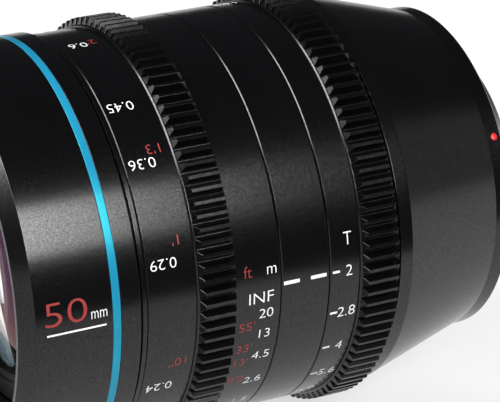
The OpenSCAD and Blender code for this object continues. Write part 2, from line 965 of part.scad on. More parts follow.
module focus_ring() {
  color("dimgray")
  difference() {
    union() {
      turned([
        [cam_r + seat_fit, z_focus0],
        [ring_r - edge, z_focus0],
        [ring_r, z_focus0 + edge],
        [ring_r, z_focus1 - edge],
        [ring_r - 2 * edge, z_focus1],
        [ring_r - 2 * edge, z_lip1 - edge],
        [ring_r - 3 * edge, z_lip1],
        [cam_r + seat_fit, z_lip1],
        [cam_r + seat_fit, z_cam_flange1],
        [ring_in, z_cam_flange1],
        [ring_in, z_focus_web1],
        [cam_r + seat_fit, z_focus_web1]
      ]);
      gear_band(z_focus_gear0, z_focus_gear1);
    }
    around(cam_screw_count, 0)
      translate([cam_screw_r, 0, z_lip1]) mirror([0, 0, 1]) flat_screw_hole(web_t + lip_w + over);
    arc_band(
      z_focus0 - over, z_focus0 + stop_depth,
      focus_stop_r + stop_r + run_fit, focus_stop_r - stop_r - run_fit,
      focus_stop_angle - focus_throw - stop_end, focus_throw + 2 * stop_end
    );
  }
}

// Helical groove: the follower climbs to the front as the cam turns
module cam_groove() {
  from = -groove_end;
  span = focus_throw + 2 * groove_end;
  lead = focus_travel / focus_throw;
  section = [
    [cam_in - over, -groove_w / 2], [groove_r, -groove_w / 2], [groove_r, groove_w / 2],
    [cam_in - over, groove_w / 2]
  ];
  points = [
    for (i = [0 : groove_steps])
      let (turn = from + span * i / groove_steps)
        for (p = section)
          [p[0] * cos(-turn), p[0] * sin(-turn), z_follower + lead * turn + p[1]]
  ];
  sides = [
    for (i = [0 : groove_steps - 1])
      for (j = [0 : 3])
        let (a = 4 * i + j, b = 4 * i + (j + 1) % 4)
          for (face = [[a, b + 4, b], [a, a + 4, b + 4]]) face
  ];
  last = 4 * groove_steps;
  ends = [[0, 1, 2], [0, 2, 3], [last + 2, last + 1, last], [last + 3, last + 2, last]];
  polyhedron(points, concat(sides, ends));
}

module focus_cam() {
  color("goldenrod")
  difference() {
    turned([
      [cam_in, z_cam0],
      [cam_r, z_cam0],
      [cam_r, z_cam_flange0],
      [ring_in - seat_fit, z_cam_flange0],
      [ring_in - seat_fit, z_cam_flange1],
      [cam_r, z_cam_flange1],
      [cam_r, z_cam1],
      [cam_in, z_cam1]
    ]);
    around(follower_count, 0) cam_groove();
    around(cam_screw_count, 0)
      translate([cam_screw_r, 0, z_cam_flange0 - over])
        cylinder(r = screw_r + seat_fit, h = web_t + 2 * over);
  }
}

module focus_cam_screws() {
  color("gainsboro")
  around(cam_screw_count, 0)
    translate([cam_screw_r, 0, z_lip1]) mirror([0, 0, 1]) flat_screw(2 * web_t + lip_w - screw_short);
}

// Focusing group

module focus_carriage() {
  color("gray")
  difference() {
    turned([
      [focus_glass_r - lip_depth, z_cell0],
      [focus_cell_r, z_cell0],
      [focus_cell_r, z_follower - carriage_web_t / 2],
      [carriage_r - band_t, z_follower - carriage_web_t / 2],
      [carriage_r - band_t, z_follower - band_len / 2],
      [carriage_r, z_follower - band_len / 2],
      [carriage_r, z_follower + band_len / 2],
      [carriage_r - band_t, z_follower + band_len / 2],
      [carriage_r - band_t, z_follower + carriage_web_t / 2],
      [focus_cell_r, z_follower + carriage_web_t / 2],
      [focus_cell_r, z_cell1],
      [focus_glass_r + seat_fit, z_cell1],
      [focus_glass_r + seat_fit, z_el5],
      [focus_glass_r, z_el5],
      [focus_glass_r - lip_depth, z_el5 - seat_rise(el5_curve[1], focus_glass_r)]
    ]);
    around(follower_count, 0)
      radial_pin(0, z_follower, focus_cell_r + follower_seat, carriage_r + over, follower_d / 2 + seat_fit);
  }
}

module cam_followers() {
  color("goldenrod")
  around(follower_count, 0)
    radial_pin(0, z_follower, focus_cell_r + follower_seat, groove_r - 2 * run_fit, follower_d / 2);
}

module element_3() {
  color("lightblue")
  element(focus_glass_r, z_el3, el3_edge, el3_curve);
}

module element_4() {
  color("lightblue")
  element(focus_glass_r, z_el4, el4_edge, el4_curve);
}

module element_5() {
  color("lightblue")
  element(focus_glass_r, z_el5, el5_edge, el5_curve);
}

module carriage_spacer() {
  color("black")
  glass_ring(z_el5 + el5_edge, z_el4, focus_glass_r, el5_curve[0], el4_curve[1]);
}

module carriage_retaining_ring() {
  color("black")
  difference() {
    glass_ring(z_carriage_ring, z_carriage_ring + retainer_t, focus_glass_r, el3_curve[0], 0);
    spanner_notches(z_carriage_ring + retainer_t, focus_glass_r - retainer_w, focus_glass_r);
  }
}

// Front

module front_barrel() {
  color("dimgray")
  turned([
    [thread_r + seat_fit, z_front0],
    [front_r - edge, z_front0],
    [front_r, z_front0 + edge],
    [front_r, z_accent0],
    [sleeve_r, z_accent0],
    [sleeve_r, z_sleeve1],
    [sleeve_in, z_sleeve1],
    [sleeve_in, z_front_web1],
    [thread_r + seat_fit, z_front_web1]
  ]);
}

module front_lock_ring() {
  color("black")
  difference() {
    band(z_front_web1, z_front_lock1, front_lock_r, thread_r + seat_fit);
    spanner_notches(z_front_lock1, thread_r, front_lock_r);
  }
}

module accent_ring() {
  color("deepskyblue")
  band(z_accent0, z_accent1, front_r, sleeve_r + seat_fit);
}

module front_ring() {
  color("dimgray")
  turned([
    [sleeve_r + seat_fit, z_accent1],
    [front_r, z_accent1],
    [front_r, z_bevel],
    [front_r - bevel_depth, z_front1],
    [filter_r, z_front1],
    [filter_r, z_filter0],
    [trim_r, z_filter0],
    [trim_r, z_sleeve1 + sleeve_gap],
    [sleeve_r + seat_fit, z_sleeve1 + sleeve_gap]
  ]);
}

// Stepped light trap between the front cell and the filter thread
module front_trim() {
  rise = (z_filter0 - z_trim0 - trim_wall) / trim_steps;
  run = (trim_r - seat_fit - trim_wall - trim_in) / trim_steps;
  stairs = [
    for (i = [0 : trim_steps - 1])
      for (p = [[i, i + 1], [i + 1, i + 1]])
        [trim_in + p[0] * run, z_trim0 + trim_wall + p[1] * rise]
  ];
  color("black")
  turned(concat(
    [[trim_r - seat_fit, z_filter0], [trim_r - seat_fit, z_trim0], [trim_in, z_trim0]], stairs
  ));
}

module front_cell() {
  color("black")
  turned([
    [front_glass_r - lip_depth, z_front_cell0],
    [front_cell_r, z_front_cell0],
    [front_cell_r, z_tube1],
    [front_flange_r, z_tube1],
    [front_flange_r, z_tube1 + front_flange_t],
    [front_cell_r, z_tube1 + front_flange_t],
    [front_cell_r, z_front_cell1],
    [front_glass_r + seat_fit, z_front_cell1],
    [front_glass_r + seat_fit, z_el2],
    [front_glass_r - lip_depth, z_el2]
  ]);
}

module front_retaining_ring() {
  color("black")
  difference() {
    glass_ring(z_front_ring, z_front_ring + retainer_t, front_glass_r, el1_curve[0], 0);
    spanner_notches(z_front_ring + retainer_t, front_glass_r - retainer_w, front_glass_r);
  }
}

module front_spacer() {
  color("black")
  glass_ring(z_el2 + el2_edge, z_el1, front_glass_r, el2_curve[0], el1_curve[1]);
}

module element_1() {
  color("lightblue")
  element(front_glass_r, z_el1, el1_edge, el1_curve);
}

module element_2() {
  color("lightblue")
  element(front_glass_r, z_el2, el2_edge, el2_curve);
}

lay() mount_flange();
lay() mount_screws();
lay() mount_shim();
lay() mount_dot();
lay() rear_baffle();
lay() rear_barrel();
lay() rear_lock_ring();
lay() guide_tube();
lay() rear_cell();
lay() rear_cell_lock_ring();
lay() rear_retaining_ring();
lay() rear_spacer_front();
lay() rear_spacer_rear();
lay() element_6();
lay() element_7();
lay() element_8();
lay() element_9();
lay() iris_housing();
lay() iris_cover();
lay() iris_lock_ring();
lay() index_barrel();
lay() index_screws();
lay() focus_stop_pin();
lay() iris_stop_pin();
lay() focus_slip_washers();
lay() front_barrel();
lay() front_lock_ring();
lay() accent_ring();
lay() front_ring();
lay() front_trim();
lay() front_cell();
lay() front_retaining_ring();
lay() front_spacer();
lay() element_1();
lay() element_2();
lay() focus_ring();
lay() focus_cam();
lay() focus_cam_screws();
lay() focus_carriage();
lay() cam_followers();
lay() element_3();
lay() element_4();
lay() element_5();
lay() carriage_spacer();
lay() carriage_retaining_ring();
lay() iris_ring();
lay() iris_link_pin();
lay() iris_drive_ring();
lay() blade(1);  // iris_blade_1
lay() blade(2);  // iris_blade_2
lay() blade(3);  // iris_blade_3
lay() blade(4);  // iris_blade_4
lay() blade(5);  // iris_blade_5
lay() blade(6);  // iris_blade_6
lay() blade(7);  // iris_blade_7
lay() blade(8);  // iris_blade_8
lay() blade(9);  // iris_blade_9
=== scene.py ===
"""Looks of a cinema prime lens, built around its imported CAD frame."""

import json
import math
from collections import namedtuple

import bmesh
import bpy
from bpy.props import FloatProperty, FloatVectorProperty, IntProperty, PointerProperty, StringProperty
from mathutils import Matrix, Vector

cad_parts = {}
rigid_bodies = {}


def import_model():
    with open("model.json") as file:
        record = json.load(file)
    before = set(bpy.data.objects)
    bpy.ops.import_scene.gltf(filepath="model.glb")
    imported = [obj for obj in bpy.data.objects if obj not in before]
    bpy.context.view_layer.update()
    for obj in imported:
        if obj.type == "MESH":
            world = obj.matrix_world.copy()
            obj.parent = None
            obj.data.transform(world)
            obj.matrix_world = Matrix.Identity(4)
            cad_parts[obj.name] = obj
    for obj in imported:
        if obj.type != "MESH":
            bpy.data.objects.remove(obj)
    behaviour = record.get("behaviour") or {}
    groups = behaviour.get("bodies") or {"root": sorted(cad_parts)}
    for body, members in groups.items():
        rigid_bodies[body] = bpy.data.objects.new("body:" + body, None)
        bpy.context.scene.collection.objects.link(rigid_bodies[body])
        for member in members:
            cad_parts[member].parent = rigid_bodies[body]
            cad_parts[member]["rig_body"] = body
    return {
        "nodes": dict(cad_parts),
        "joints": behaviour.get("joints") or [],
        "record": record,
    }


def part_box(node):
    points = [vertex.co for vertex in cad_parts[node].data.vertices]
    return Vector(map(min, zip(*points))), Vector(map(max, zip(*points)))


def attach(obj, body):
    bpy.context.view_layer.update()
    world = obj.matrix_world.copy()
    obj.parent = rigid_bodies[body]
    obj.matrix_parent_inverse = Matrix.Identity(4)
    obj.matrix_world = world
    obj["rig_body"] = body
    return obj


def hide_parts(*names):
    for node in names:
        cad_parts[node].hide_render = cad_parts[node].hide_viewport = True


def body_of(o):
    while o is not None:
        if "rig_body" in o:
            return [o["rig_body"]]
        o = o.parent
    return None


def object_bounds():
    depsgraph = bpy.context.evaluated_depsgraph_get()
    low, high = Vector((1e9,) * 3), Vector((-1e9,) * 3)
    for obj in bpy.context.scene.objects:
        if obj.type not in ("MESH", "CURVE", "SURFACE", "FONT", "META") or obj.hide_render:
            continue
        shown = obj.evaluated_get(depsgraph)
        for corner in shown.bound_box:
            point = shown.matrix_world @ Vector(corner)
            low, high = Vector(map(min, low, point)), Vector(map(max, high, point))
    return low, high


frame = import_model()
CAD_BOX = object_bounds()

bl_info = {
    "name": "Cinema prime lens",
    "version": (1, 0, 0),
    "blender": (4, 5, 0),
    "location": "View3D > Sidebar > Lens",
    "description": "Turned rings, gears, engraved scales, glass and mount of a cinema prime lens",
    "category": "Object",
}

MM = 0.001

# Places and sizes from the frame

Span = namedtuple("Span", "rear front radius")


def node_span(name):
    """Rear end and front end of a CAD node ahead of the mount flange, and its radius."""
    low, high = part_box(name)
    return Span(-high.x, -low.x, -low.y)


def mount_span(name):
    """Rear end and front end of a mount ahead of the mount flange, and its radius."""
    mount = next(m for m in frame["record"]["mounts"] if m["name"] == name)
    middle = -mount["pos_m"][0]
    half = mount["dims"]["length_mm"] / 2 * MM
    return Span(middle - half, middle + half, mount["dims"]["r_mm"] * MM)


def joint_turn(name):
    """Whole turn of a hinge, in degrees."""
    low, high = next(j for j in frame["joints"] if j["name"] == name)["range_deg"]
    return high - low


def numbered_nodes(start):
    """Names of the CAD nodes that share a start and end in a number, in order."""
    return sorted(name for name in frame["nodes"] if name.startswith(start))


REAR = node_span("rear_barrel")
IRIS = node_span("iris_ring")
INDEX = node_span("index_barrel")
FOCUS = node_span("focus_ring")
TAIL = node_span("front_barrel")
ACCENT = node_span("accent_ring")
BAND = node_span("front_ring")
IRIS_GEAR = mount_span("iris_gear")
FOCUS_GEAR = mount_span("focus_gear")
THREAD = mount_span("filter_thread")
LENS_MIDDLE = Vector(((CAD_BOX[0][0] + CAD_BOX[1][0]) / 2, 0, 0))

# Ends of the middle rings, a fine seam apart
SEAM = 0.3 * MM
IRIS_REAR = REAR.front + SEAM
IRIS_FRONT = IRIS.front - 0.15 * MM
INDEX_REAR = IRIS_FRONT + SEAM
INDEX_FRONT = INDEX.front - 0.1 * MM
FOCUS_REAR = INDEX_FRONT + SEAM

# Fits, webs and bores inside the rings
SEAT_FIT = 0.04 * MM
WEB = 2.5 * MM
TUBE_WALL = 2 * MM
TUBE_STEP = 0.8 * MM
TUBE_RADIUS = node_span("rear_cell").radius + SEAT_FIT + TUBE_WALL
TUBE_SEAT = TUBE_RADIUS - TUBE_STEP + SEAT_FIT
RING_BORE = node_span("guide_tube").radius + 0.5 * MM
WASHER_BORE = node_span("focus_slip_washers").radius + 0.25 * MM

# Roundings of the turned edges, from a hair to a soft edge
HAIR = 0.03 * MM
FINE = 0.05 * MM
CRISP = 0.08 * MM
SMALL = 0.1 * MM
EVEN = 0.12 * MM
FULL = 0.15 * MM
SOFT = 0.2 * MM

# Scales: each mark with the turn of the ring from infinity that brings it to the index, in degrees
FocusScale = namedtuple("FocusScale", "piece unit unit_ahead far near marks")
METRES = FocusScale(
    piece="metre_marks", unit="m", unit_ahead=-1.1 * MM,
    far=FOCUS_REAR + 3 * MM, near=FOCUS.front - 4.7 * MM,
    marks=[
        ("INF", 0.2), ("20", 5.2), ("13", 11.8), ("4.5", 19.6), ("2.6", 30.3), ("1.5", 43), ("1", 57),
        ("0.8", 70), ("0.6", 92), ("0.45", 120.5), ("0.36", 138), ("0.29", 165), ("0.24", 203.4),
    ],
)
FEET = FocusScale(
    piece="foot_marks", unit="ft", unit_ahead=0,
    far=FOCUS_REAR + 7.1 * MM, near=FOCUS.front - 7.8 * MM,
    marks=[
        ("55'", 8.6), ("33'", 16), ("13'", 21.3), ("9'2", 28.6), ("5'", 43), ("3'3", 58), ("2'", 91),
        ("1'3", 134.4), ("1'", 159.3), ("10''", 194.9),
    ],
)
STOPS = ["2", "2.8", "4", "5.6", "8", "11", "16"]
STOP_TURN = joint_turn("iris_turn") / (len(STOPS) - 1)
SIDES = (0, math.pi)

# Softboxes: degrees from the index side towards the mount, degrees up, then metres away, wide and tall
Softbox = namedtuple("Softbox", "azimuth elevation distance width height")
SOFTBOXES = {
    "key": Softbox(-3.2, 31.2, 1.0, 0.8, 0.46),
    "left": Softbox(-97, 39, 1.1, 0.8, 0.6),
    "fill": Softbox(-62, 50, 1.4, 0.8, 0.8),
    "right": Softbox(72, 13, 1.0, 0.7, 0.5),
}


# Properties

def length_field(name, description, default):
    """Field of a length."""
    return FloatProperty(name=name, description=description, default=default, subtype="DISTANCE")


def angle_field(name, description, degrees):
    """Field of an angle, given in degrees."""
    return FloatProperty(name=name, description=description, default=math.radians(degrees), subtype="ANGLE")


def colour_field(name, description, default):
    """Field of a colour."""
    return FloatVectorProperty(
        name=name, description=description, default=default, size=3, subtype="COLOR", min=0, max=1
    )


def power_field(name, description, default):
    """Field of a lamp's power."""
    return FloatProperty(name=name, description=description, default=default, unit="POWER")


class LensRingSizes(bpy.types.PropertyGroup):
    """Sizes of the rings and gears."""

    steps: IntProperty(name="Steps", description="Steps around a turned piece", default=256, min=32)
    ring_radius: length_field("Ring radius", "Radius of the scale rings", INDEX.radius)
    rim_radius: length_field("Rim radius", "Radius of the rear rim", 34.8 * MM)
    rim_length: length_field("Rim length", "Length of the rear rim", 3.4 * MM)
    collar_length: length_field("Collar length", "Straight collar in front of the cone", 2.7 * MM)
    edge: length_field("Edge", "Chamfer on the ends of the rings", 0.2 * MM)
    groove_width: length_field("Groove width", "Groove between focus ring and front band", 0.6 * MM)
    accent_inset: length_field("Accent inset", "Rear part of the blue ring that is covered", 0.14 * MM)
    accent_width: length_field("Accent width", "Width of the blue ring", 1.65 * MM)
    accent_depth: length_field("Accent depth", "Depth of the blue ring", 1.3 * MM)
    bevel_length: length_field("Bevel length", "Front bevel along the axis", 2.5 * MM)
    bevel_depth: length_field("Bevel depth", "Front bevel across the axis", 3 * MM)
    gear_teeth: IntProperty(name="Gear teeth", description="Teeth of each gear", default=107, min=12)
    flank_angle: angle_field("Flank angle", "Angle of the flanks of a tooth", 20)
    tooth_lean: length_field("Tooth lean", "Lean of a tooth's ends", 0.76 * MM)
    tooth_edge: length_field("Tooth edge", "Width of a tooth's broken edges", 0.035 * MM)
    thread_pitch: length_field("Thread pitch", "Pitch of the filter thread", 0.75 * MM)


class LensMarkSizes(bpy.types.PropertyGroup):
    """Sizes of the engraved and painted marks."""

    relief: length_field("Relief", "Height of the paint over the ring", 0.02 * MM)
    focal_length: StringProperty(
        name="Focal length", description="Plain number on the front band", default="50"
    )
    number_height: length_field("Number height", "Height of the number on the front band", 5.1 * MM)
    metre_height: length_field("Metre height", "Height of the figures for metres", 2.2 * MM)
    foot_height: length_field("Foot height", "Height of the figures for feet", 2.1 * MM)
    unit_height: length_field("Unit height", "Height of the units of the focus scales", 2.6 * MM)
    stop_height: length_field("Stop height", "Height of the figures for stops", 2.5 * MM)
    dash_length: length_field("Dash length", "Length of an index dash", 3.5 * MM)
    dash_width: length_field("Dash width", "Width of an index dash", 0.75 * MM)
    tick_length: length_field("Tick length", "Length of a tick of the iris scale", 1.6 * MM)
    tick_width: length_field("Tick width", "Width of a tick of the iris scale", 0.5 * MM)
    index_angle: angle_field("Index angle", "Angle of the index above the lens's level", 0.75)


class LensFinishes(bpy.types.PropertyGroup):
    """Colours of the finishes."""

    barrel_black: colour_field("Barrel black", "Black of the anodised barrel", (0.0016, 0.0016, 0.0019))
    matt_black: colour_field("Matt black", "Black of the pieces inside", (0.009, 0.009, 0.009))
    accent_blue: colour_field("Accent blue", "Blue of the dyed accent ring", (0.012, 0.195, 0.33))
    accent_gloss: colour_field("Accent gloss", "Tint of the accent ring's gloss", (0.13, 1.0, 0.8))
    paint_white: colour_field("Paint white", "White of the marks", (0.78, 0.79, 0.8))
    paint_red: colour_field("Paint red", "Red of the marks", (0.26, 0.022, 0.021))
    dot_red: colour_field("Dot red", "Enamel of the mounting dot", (0.55, 0.01, 0.012))
    plating: colour_field("Plating", "Plated metal of the mount", (0.62, 0.61, 0.59))
    steel: colour_field("Steel", "Steel of the screws", (0.3, 0.3, 0.31))
    brass: colour_field("Brass", "Brass of the shim and pins", (0.78, 0.57, 0.26))
    aluminium: colour_field("Aluminium", "Bare aluminium inside", (0.55, 0.56, 0.57))
    slip_plastic: colour_field("Slip plastic", "Plastic of the slip washers", (0.72, 0.7, 0.64))
    blade_black: colour_field("Blade black", "Blackened steel of the blades", (0.045, 0.045, 0.05))
    glass_tint: colour_field("Glass tint", "Tint of the glass", (0.97, 0.985, 0.98))


class LensStage(bpy.types.PropertyGroup):
    """Camera, floor and lamps."""

    camera_place: FloatVectorProperty(
        name="Camera", description="Place of the camera", default=(-0.27324, -0.44378, 0.20892),
        size=3, subtype="TRANSLATION", unit="LENGTH"
    )
    camera_azimuth: angle_field("Azimuth", "Turn of the camera about the vertical", -27.43)
    camera_elevation: angle_field("Elevation", "Height angle of the camera", 22.70)
    camera_lens: FloatProperty(
        name="Lens", description="Focal length of the camera in millimetres", default=185.4, min=1
    )
    floor_white: colour_field("Floor white", "Colour of the floor", (0.3, 0.3, 0.3))
    floor_glow: FloatProperty(
        name="Floor glow", description="Light added to the floor to the eye and in reflections", default=0.68
    )
    # Black of the card that only reflections see, a painted dark reflection.
    card_black: colour_field("Card black", "Colour of the black card", (0.01, 0.01, 0.01))
    key_power: power_field("Key", "Power of the key softbox", 14.6)
    left_power: power_field("Left", "Power of the left softbox", 18)
    fill_power: power_field("Fill", "Power of the fill softbox", 2.2)
    right_power: power_field("Right", "Power of the right softbox", 0.35)


# Outlines of the turned rings: place ahead of the flange, radius and rounding of each corner

def front_band_outline(sizes):
    """Clamp-on band with its bevel, the bore of the filter thread and the seat of the trim."""
    rear = ACCENT.rear + sizes.accent_inset + sizes.accent_width
    seat = BAND.radius - sizes.accent_depth + SEAT_FIT
    trim_rear = TAIL.front + 0.2 * MM
    trim_seat = node_span("front_trim").radius + SEAT_FIT
    return [
        (rear, seat, 0), (rear, BAND.radius, EVEN), (BAND.front - sizes.bevel_length, BAND.radius, SOFT),
        (BAND.front, BAND.radius - sizes.bevel_depth, FULL), (BAND.front, THREAD.radius, SMALL),
        (THREAD.rear, THREAD.radius, 0), (THREAD.rear, trim_seat, SMALL), (trim_rear, trim_seat, 0),
        (trim_rear, seat, 0),
    ]


def front_tail_outline(sizes, groove_depth=2.2 * MM, tenon_wall=2.8 * MM):
    """Band behind the blue ring, with a groove at the focus ring and a tenon inside the front band."""
    groove_front = TAIL.rear + sizes.groove_width
    groove_floor = TAIL.radius - groove_depth
    front = ACCENT.rear + sizes.accent_inset
    tenon = TAIL.radius - sizes.accent_depth
    bore = tenon - tenon_wall
    web_front = node_span("front_lock_ring").rear
    return [
        (TAIL.rear, TUBE_SEAT, 0), (TAIL.rear, groove_floor, 0), (groove_front, groove_floor, 0),
        (groove_front, TAIL.radius, EVEN), (front, TAIL.radius, EVEN), (front, tenon, 0),
        (TAIL.front, tenon, SMALL), (TAIL.front, bore, SMALL), (web_front, bore, 0),
        (web_front, TUBE_SEAT, 0),
    ]


def accent_outline(sizes):
    """Blue ring between the two front bands."""
    rear = ACCENT.rear + sizes.accent_inset
    front = rear + sizes.accent_width
    seat = ACCENT.radius - sizes.accent_depth + SEAT_FIT
    return [(rear, seat, 0), (rear, ACCENT.radius, FULL), (front, ACCENT.radius, FULL), (front, seat, 0)]


def broken_end(front, radius, chamfer):
    """Chamfered corner at the front end of a ring."""
    return [(front - chamfer, radius, FINE), (front, radius - chamfer, FINE)]


def gear_radii(sizes, dedendum=1.25):
    """Radii of the roots and the tips of the gear teeth, and the gear module."""
    module = 2 * FOCUS_GEAR.radius / sizes.gear_teeth
    return FOCUS_GEAR.radius - dedendum * module, FOCUS_GEAR.radius + module, module


def gear_shoulder(gear, sizes, sunk=0.2 * MM, rise=0.4 * MM, slope=0.25 * MM):
    """Shoulder at the front of a gear: it starts under the teeth and slopes down to the scale."""
    rear = gear.front - sunk
    root = gear_radii(sizes)[0]
    return [
        (rear, root, 0), (rear, root + rise, FINE), (rear + slope, root + rise, FINE),
        (rear + 2 * slope, root + rise - slope, FINE), (rear + 2 * slope, sizes.ring_radius, 0),
    ]


def focus_outline(sizes, groove_width=0.2 * MM, groove_depth=0.5 * MM, lip_edge=0.15 * MM):
    """Focus ring: far scale, gear bed and shoulder, near scale, and a lip behind a fine groove."""
    ring = sizes.ring_radius
    root = gear_radii(sizes)[0]
    scale_front = FOCUS.front - 0.9 * MM
    lip_rear = scale_front + groove_width
    lip_front = FOCUS.front + 0.3 * MM
    lip_bore = ring - 0.9 * MM
    cam_seat = FOCUS.front - 3.5 * MM
    web_front = FOCUS.rear + 2.8 * MM
    return [
        (FOCUS_REAR, WASHER_BORE, 0), (FOCUS_REAR, ring, SMALL), (FOCUS_GEAR.rear, ring, 0),
        (FOCUS_GEAR.rear, root, HAIR), *gear_shoulder(FOCUS_GEAR, sizes),
        *broken_end(scale_front, ring, sizes.edge), (scale_front, ring - groove_depth, 0),
        (lip_rear, ring - groove_depth, 0), (lip_rear, ring, HAIR), *broken_end(lip_front, ring, lip_edge),
        (lip_front, lip_bore, 0), (FOCUS.front, lip_bore, 0), (FOCUS.front, WASHER_BORE, 0),
        (cam_seat, WASHER_BORE, 0), (cam_seat, RING_BORE, 0), (web_front, RING_BORE, 0),
        (web_front, WASHER_BORE, 0),
    ]


def index_outline(sizes):
    """Index barrel, whose inner web is screwed to the guide tube."""
    ring = sizes.ring_radius
    bore = TUBE_RADIUS + 0.05 * MM
    web_front = node_span("index_screws").front
    web_rear = web_front - WEB
    return [
        (INDEX_REAR, RING_BORE, 0), (INDEX_REAR, ring, SMALL), *broken_end(INDEX_FRONT, ring, sizes.edge),
        (INDEX_FRONT, RING_BORE, 0), (web_front, RING_BORE, 0), (web_front, bore, 0), (web_rear, bore, 0),
        (web_rear, RING_BORE, 0),
    ]


def iris_outline(sizes):
    """Iris ring: gear bed and shoulder, then the scale."""
    root = gear_radii(sizes)[0]
    bore = TUBE_RADIUS + 0.11 * MM
    web_rear = IRIS.rear + 5.45 * MM
    return [
        (IRIS_REAR, RING_BORE, 0), (IRIS_REAR, root - sizes.edge, FINE),
        (IRIS_REAR + sizes.edge, root, FINE), *gear_shoulder(IRIS_GEAR, sizes),
        *broken_end(IRIS_FRONT, sizes.ring_radius, sizes.edge), (IRIS_FRONT, bore, 0),
        (web_rear, bore, 0), (web_rear, RING_BORE, 0),
    ]


def rear_outline(sizes, wall=2.2 * MM, rim_edge=0.3 * MM, heel=0.4 * MM, shoulder=1 * MM):
    """Rear barrel: rim, cone and collar, with the seat of the mount flange inside."""
    rim, collar = sizes.rim_radius, REAR.radius
    flange_seat = node_span("mount_flange").radius + SEAT_FIT
    shim_front = node_span("mount_shim").front
    plate_front = shim_front + WEB
    plate_bore = mount_span("bayonet").radius + 0.3 * MM
    web_rear = REAR.front - WEB
    return [
        (REAR.rear, flange_seat, FINE), (REAR.rear, rim - rim_edge, SMALL),
        (REAR.rear + rim_edge, rim, SMALL), (REAR.rear + sizes.rim_length, rim, heel),
        (REAR.front - sizes.collar_length, collar, shoulder), (REAR.front, collar, CRISP),
        (REAR.front, TUBE_SEAT, 0), (web_rear, TUBE_SEAT, 0), (web_rear, collar - wall, 0),
        (plate_front, rim - wall, 0), (plate_front, plate_bore, 0), (shim_front, plate_bore, 0),
        (shim_front, flange_seat, 0),
    ]


# Meshes

def on_lens(z, radius, angle):
    """Point at a distance ahead of the flange, a radius and an angle above the index side."""
    return Vector((-z, -radius * math.cos(angle), radius * math.sin(angle)))


def heading(azimuth, elevation):
    """Direction at degrees from the index side towards the mount, and degrees up."""
    turn, rise = math.radians(azimuth), math.radians(elevation)
    return Vector((math.sin(turn) * math.cos(rise), -math.cos(turn) * math.cos(rise), math.sin(rise)))


def rounded(outline, arc_steps=4, most=0.45, guard=0.03 * MM, guard_most=0.04):
    """Outline with its corners rounded, and a guard point beside each rounding to keep flats flat.

    A rounding takes at most one share of a side, and its guard another.
    """
    points = []
    count = len(outline)
    for i, (z, r, radius) in enumerate(outline):
        corner = Vector((z, r))
        if not radius:
            points.append(corner)
            continue
        before = Vector(outline[i - 1][:2]) - corner
        after = Vector(outline[(i + 1) % count][:2]) - corner
        half = before.angle(after) / 2
        reach = min(radius / math.tan(half), most * before.length, most * after.length)
        arc = reach * math.tan(half)
        centre = corner + (before.normalized() + after.normalized()).normalized() * (arc / math.sin(half))
        first = corner + before.normalized() * reach
        last = corner + after.normalized() * reach
        points.append(first + before.normalized() * min(guard, guard_most * before.length))
        start = first - centre
        sweep = start.angle_signed(last - centre)
        for k in range(arc_steps + 1):
            points.append(centre + Matrix.Rotation(-sweep * k / arc_steps, 2) @ start)
        points.append(last + after.normalized() * min(guard, guard_most * after.length))
    return points


def turned_mesh(name, outline, steps):
    """Closed ring turned from an outline, or a solid one where the outline starts and ends on the axis."""
    profile = rounded(outline)
    bm = bmesh.new()
    rings = []
    for s in range(steps):
        angle = 2 * math.pi * s / steps
        rings.append([bm.verts.new(on_lens(p.x, p.y, angle)) for p in profile])
    for s in range(steps):
        here, there = rings[s], rings[(s + 1) % steps]
        for k in range(len(profile)):
            n = (k + 1) % len(profile)
            if profile[k].y or profile[n].y:
                bm.faces.new((here[k], here[n], there[n], there[k]))
    bmesh.ops.remove_doubles(bm, verts=bm.verts, dist=0.001 * MM)
    return finished_mesh(name, bm)


def lens_face(middle, edge, rim, steps=20):
    """Corners of a spherical glass face from the axis to the rim."""
    sag = edge - middle
    curve = (rim * rim + sag * sag) / (2 * sag)
    points = []
    for k in range(steps + 1):
        r = rim * k / steps
        points.append((middle + curve - math.copysign(math.sqrt(curve * curve - r * r), curve), r, 0))
    return points


def element_outline(node, skin=0.005 * MM, at_rim=0.998, at_axis=0.01):
    """Outline of a glass element from its CAD node, a skin smaller so that cemented faces stay apart."""
    places = [(-v.co.x, math.hypot(v.co.y, v.co.z)) for v in node.data.vertices]
    rim = max(r for z, r in places)
    edges = [z for z, r in places if r > at_rim * rim]
    middles = [z for z, r in places if r < at_axis * rim]
    rear = lens_face(min(middles) + skin, min(edges) + skin, rim)
    front = lens_face(max(middles) - skin, max(edges) - skin, rim)
    return rear + front[::-1]


def finished_mesh(name, bm, sharp=math.radians(35)):
    """Plain mesh with outward faces, smooth but for its sharp edges."""
    bmesh.ops.recalc_face_normals(bm, faces=bm.faces)
    for face in bm.faces:
        face.smooth = True
    for edge in bm.edges:
        edge.smooth = len(edge.link_faces) == 2 and edge.calc_face_angle(0) < sharp
    mesh = bpy.data.meshes.new(name)
    bm.to_mesh(mesh)
    bm.free()
    return mesh


def linked_object(name, data):
    """Object in the scene."""
    thing = bpy.data.objects.new(name, data)
    bpy.context.scene.collection.objects.link(thing)
    return thing


def add_piece(name, mesh, material, body, replaced=None):
    """Adds a finished mesh that rides on a body and may stand for a CAD node."""
    piece = linked_object(name, mesh)
    if not mesh.materials:
        mesh.materials.append(material)
    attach(piece, body)
    if replaced:
        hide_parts(replaced)


# Geometry trees

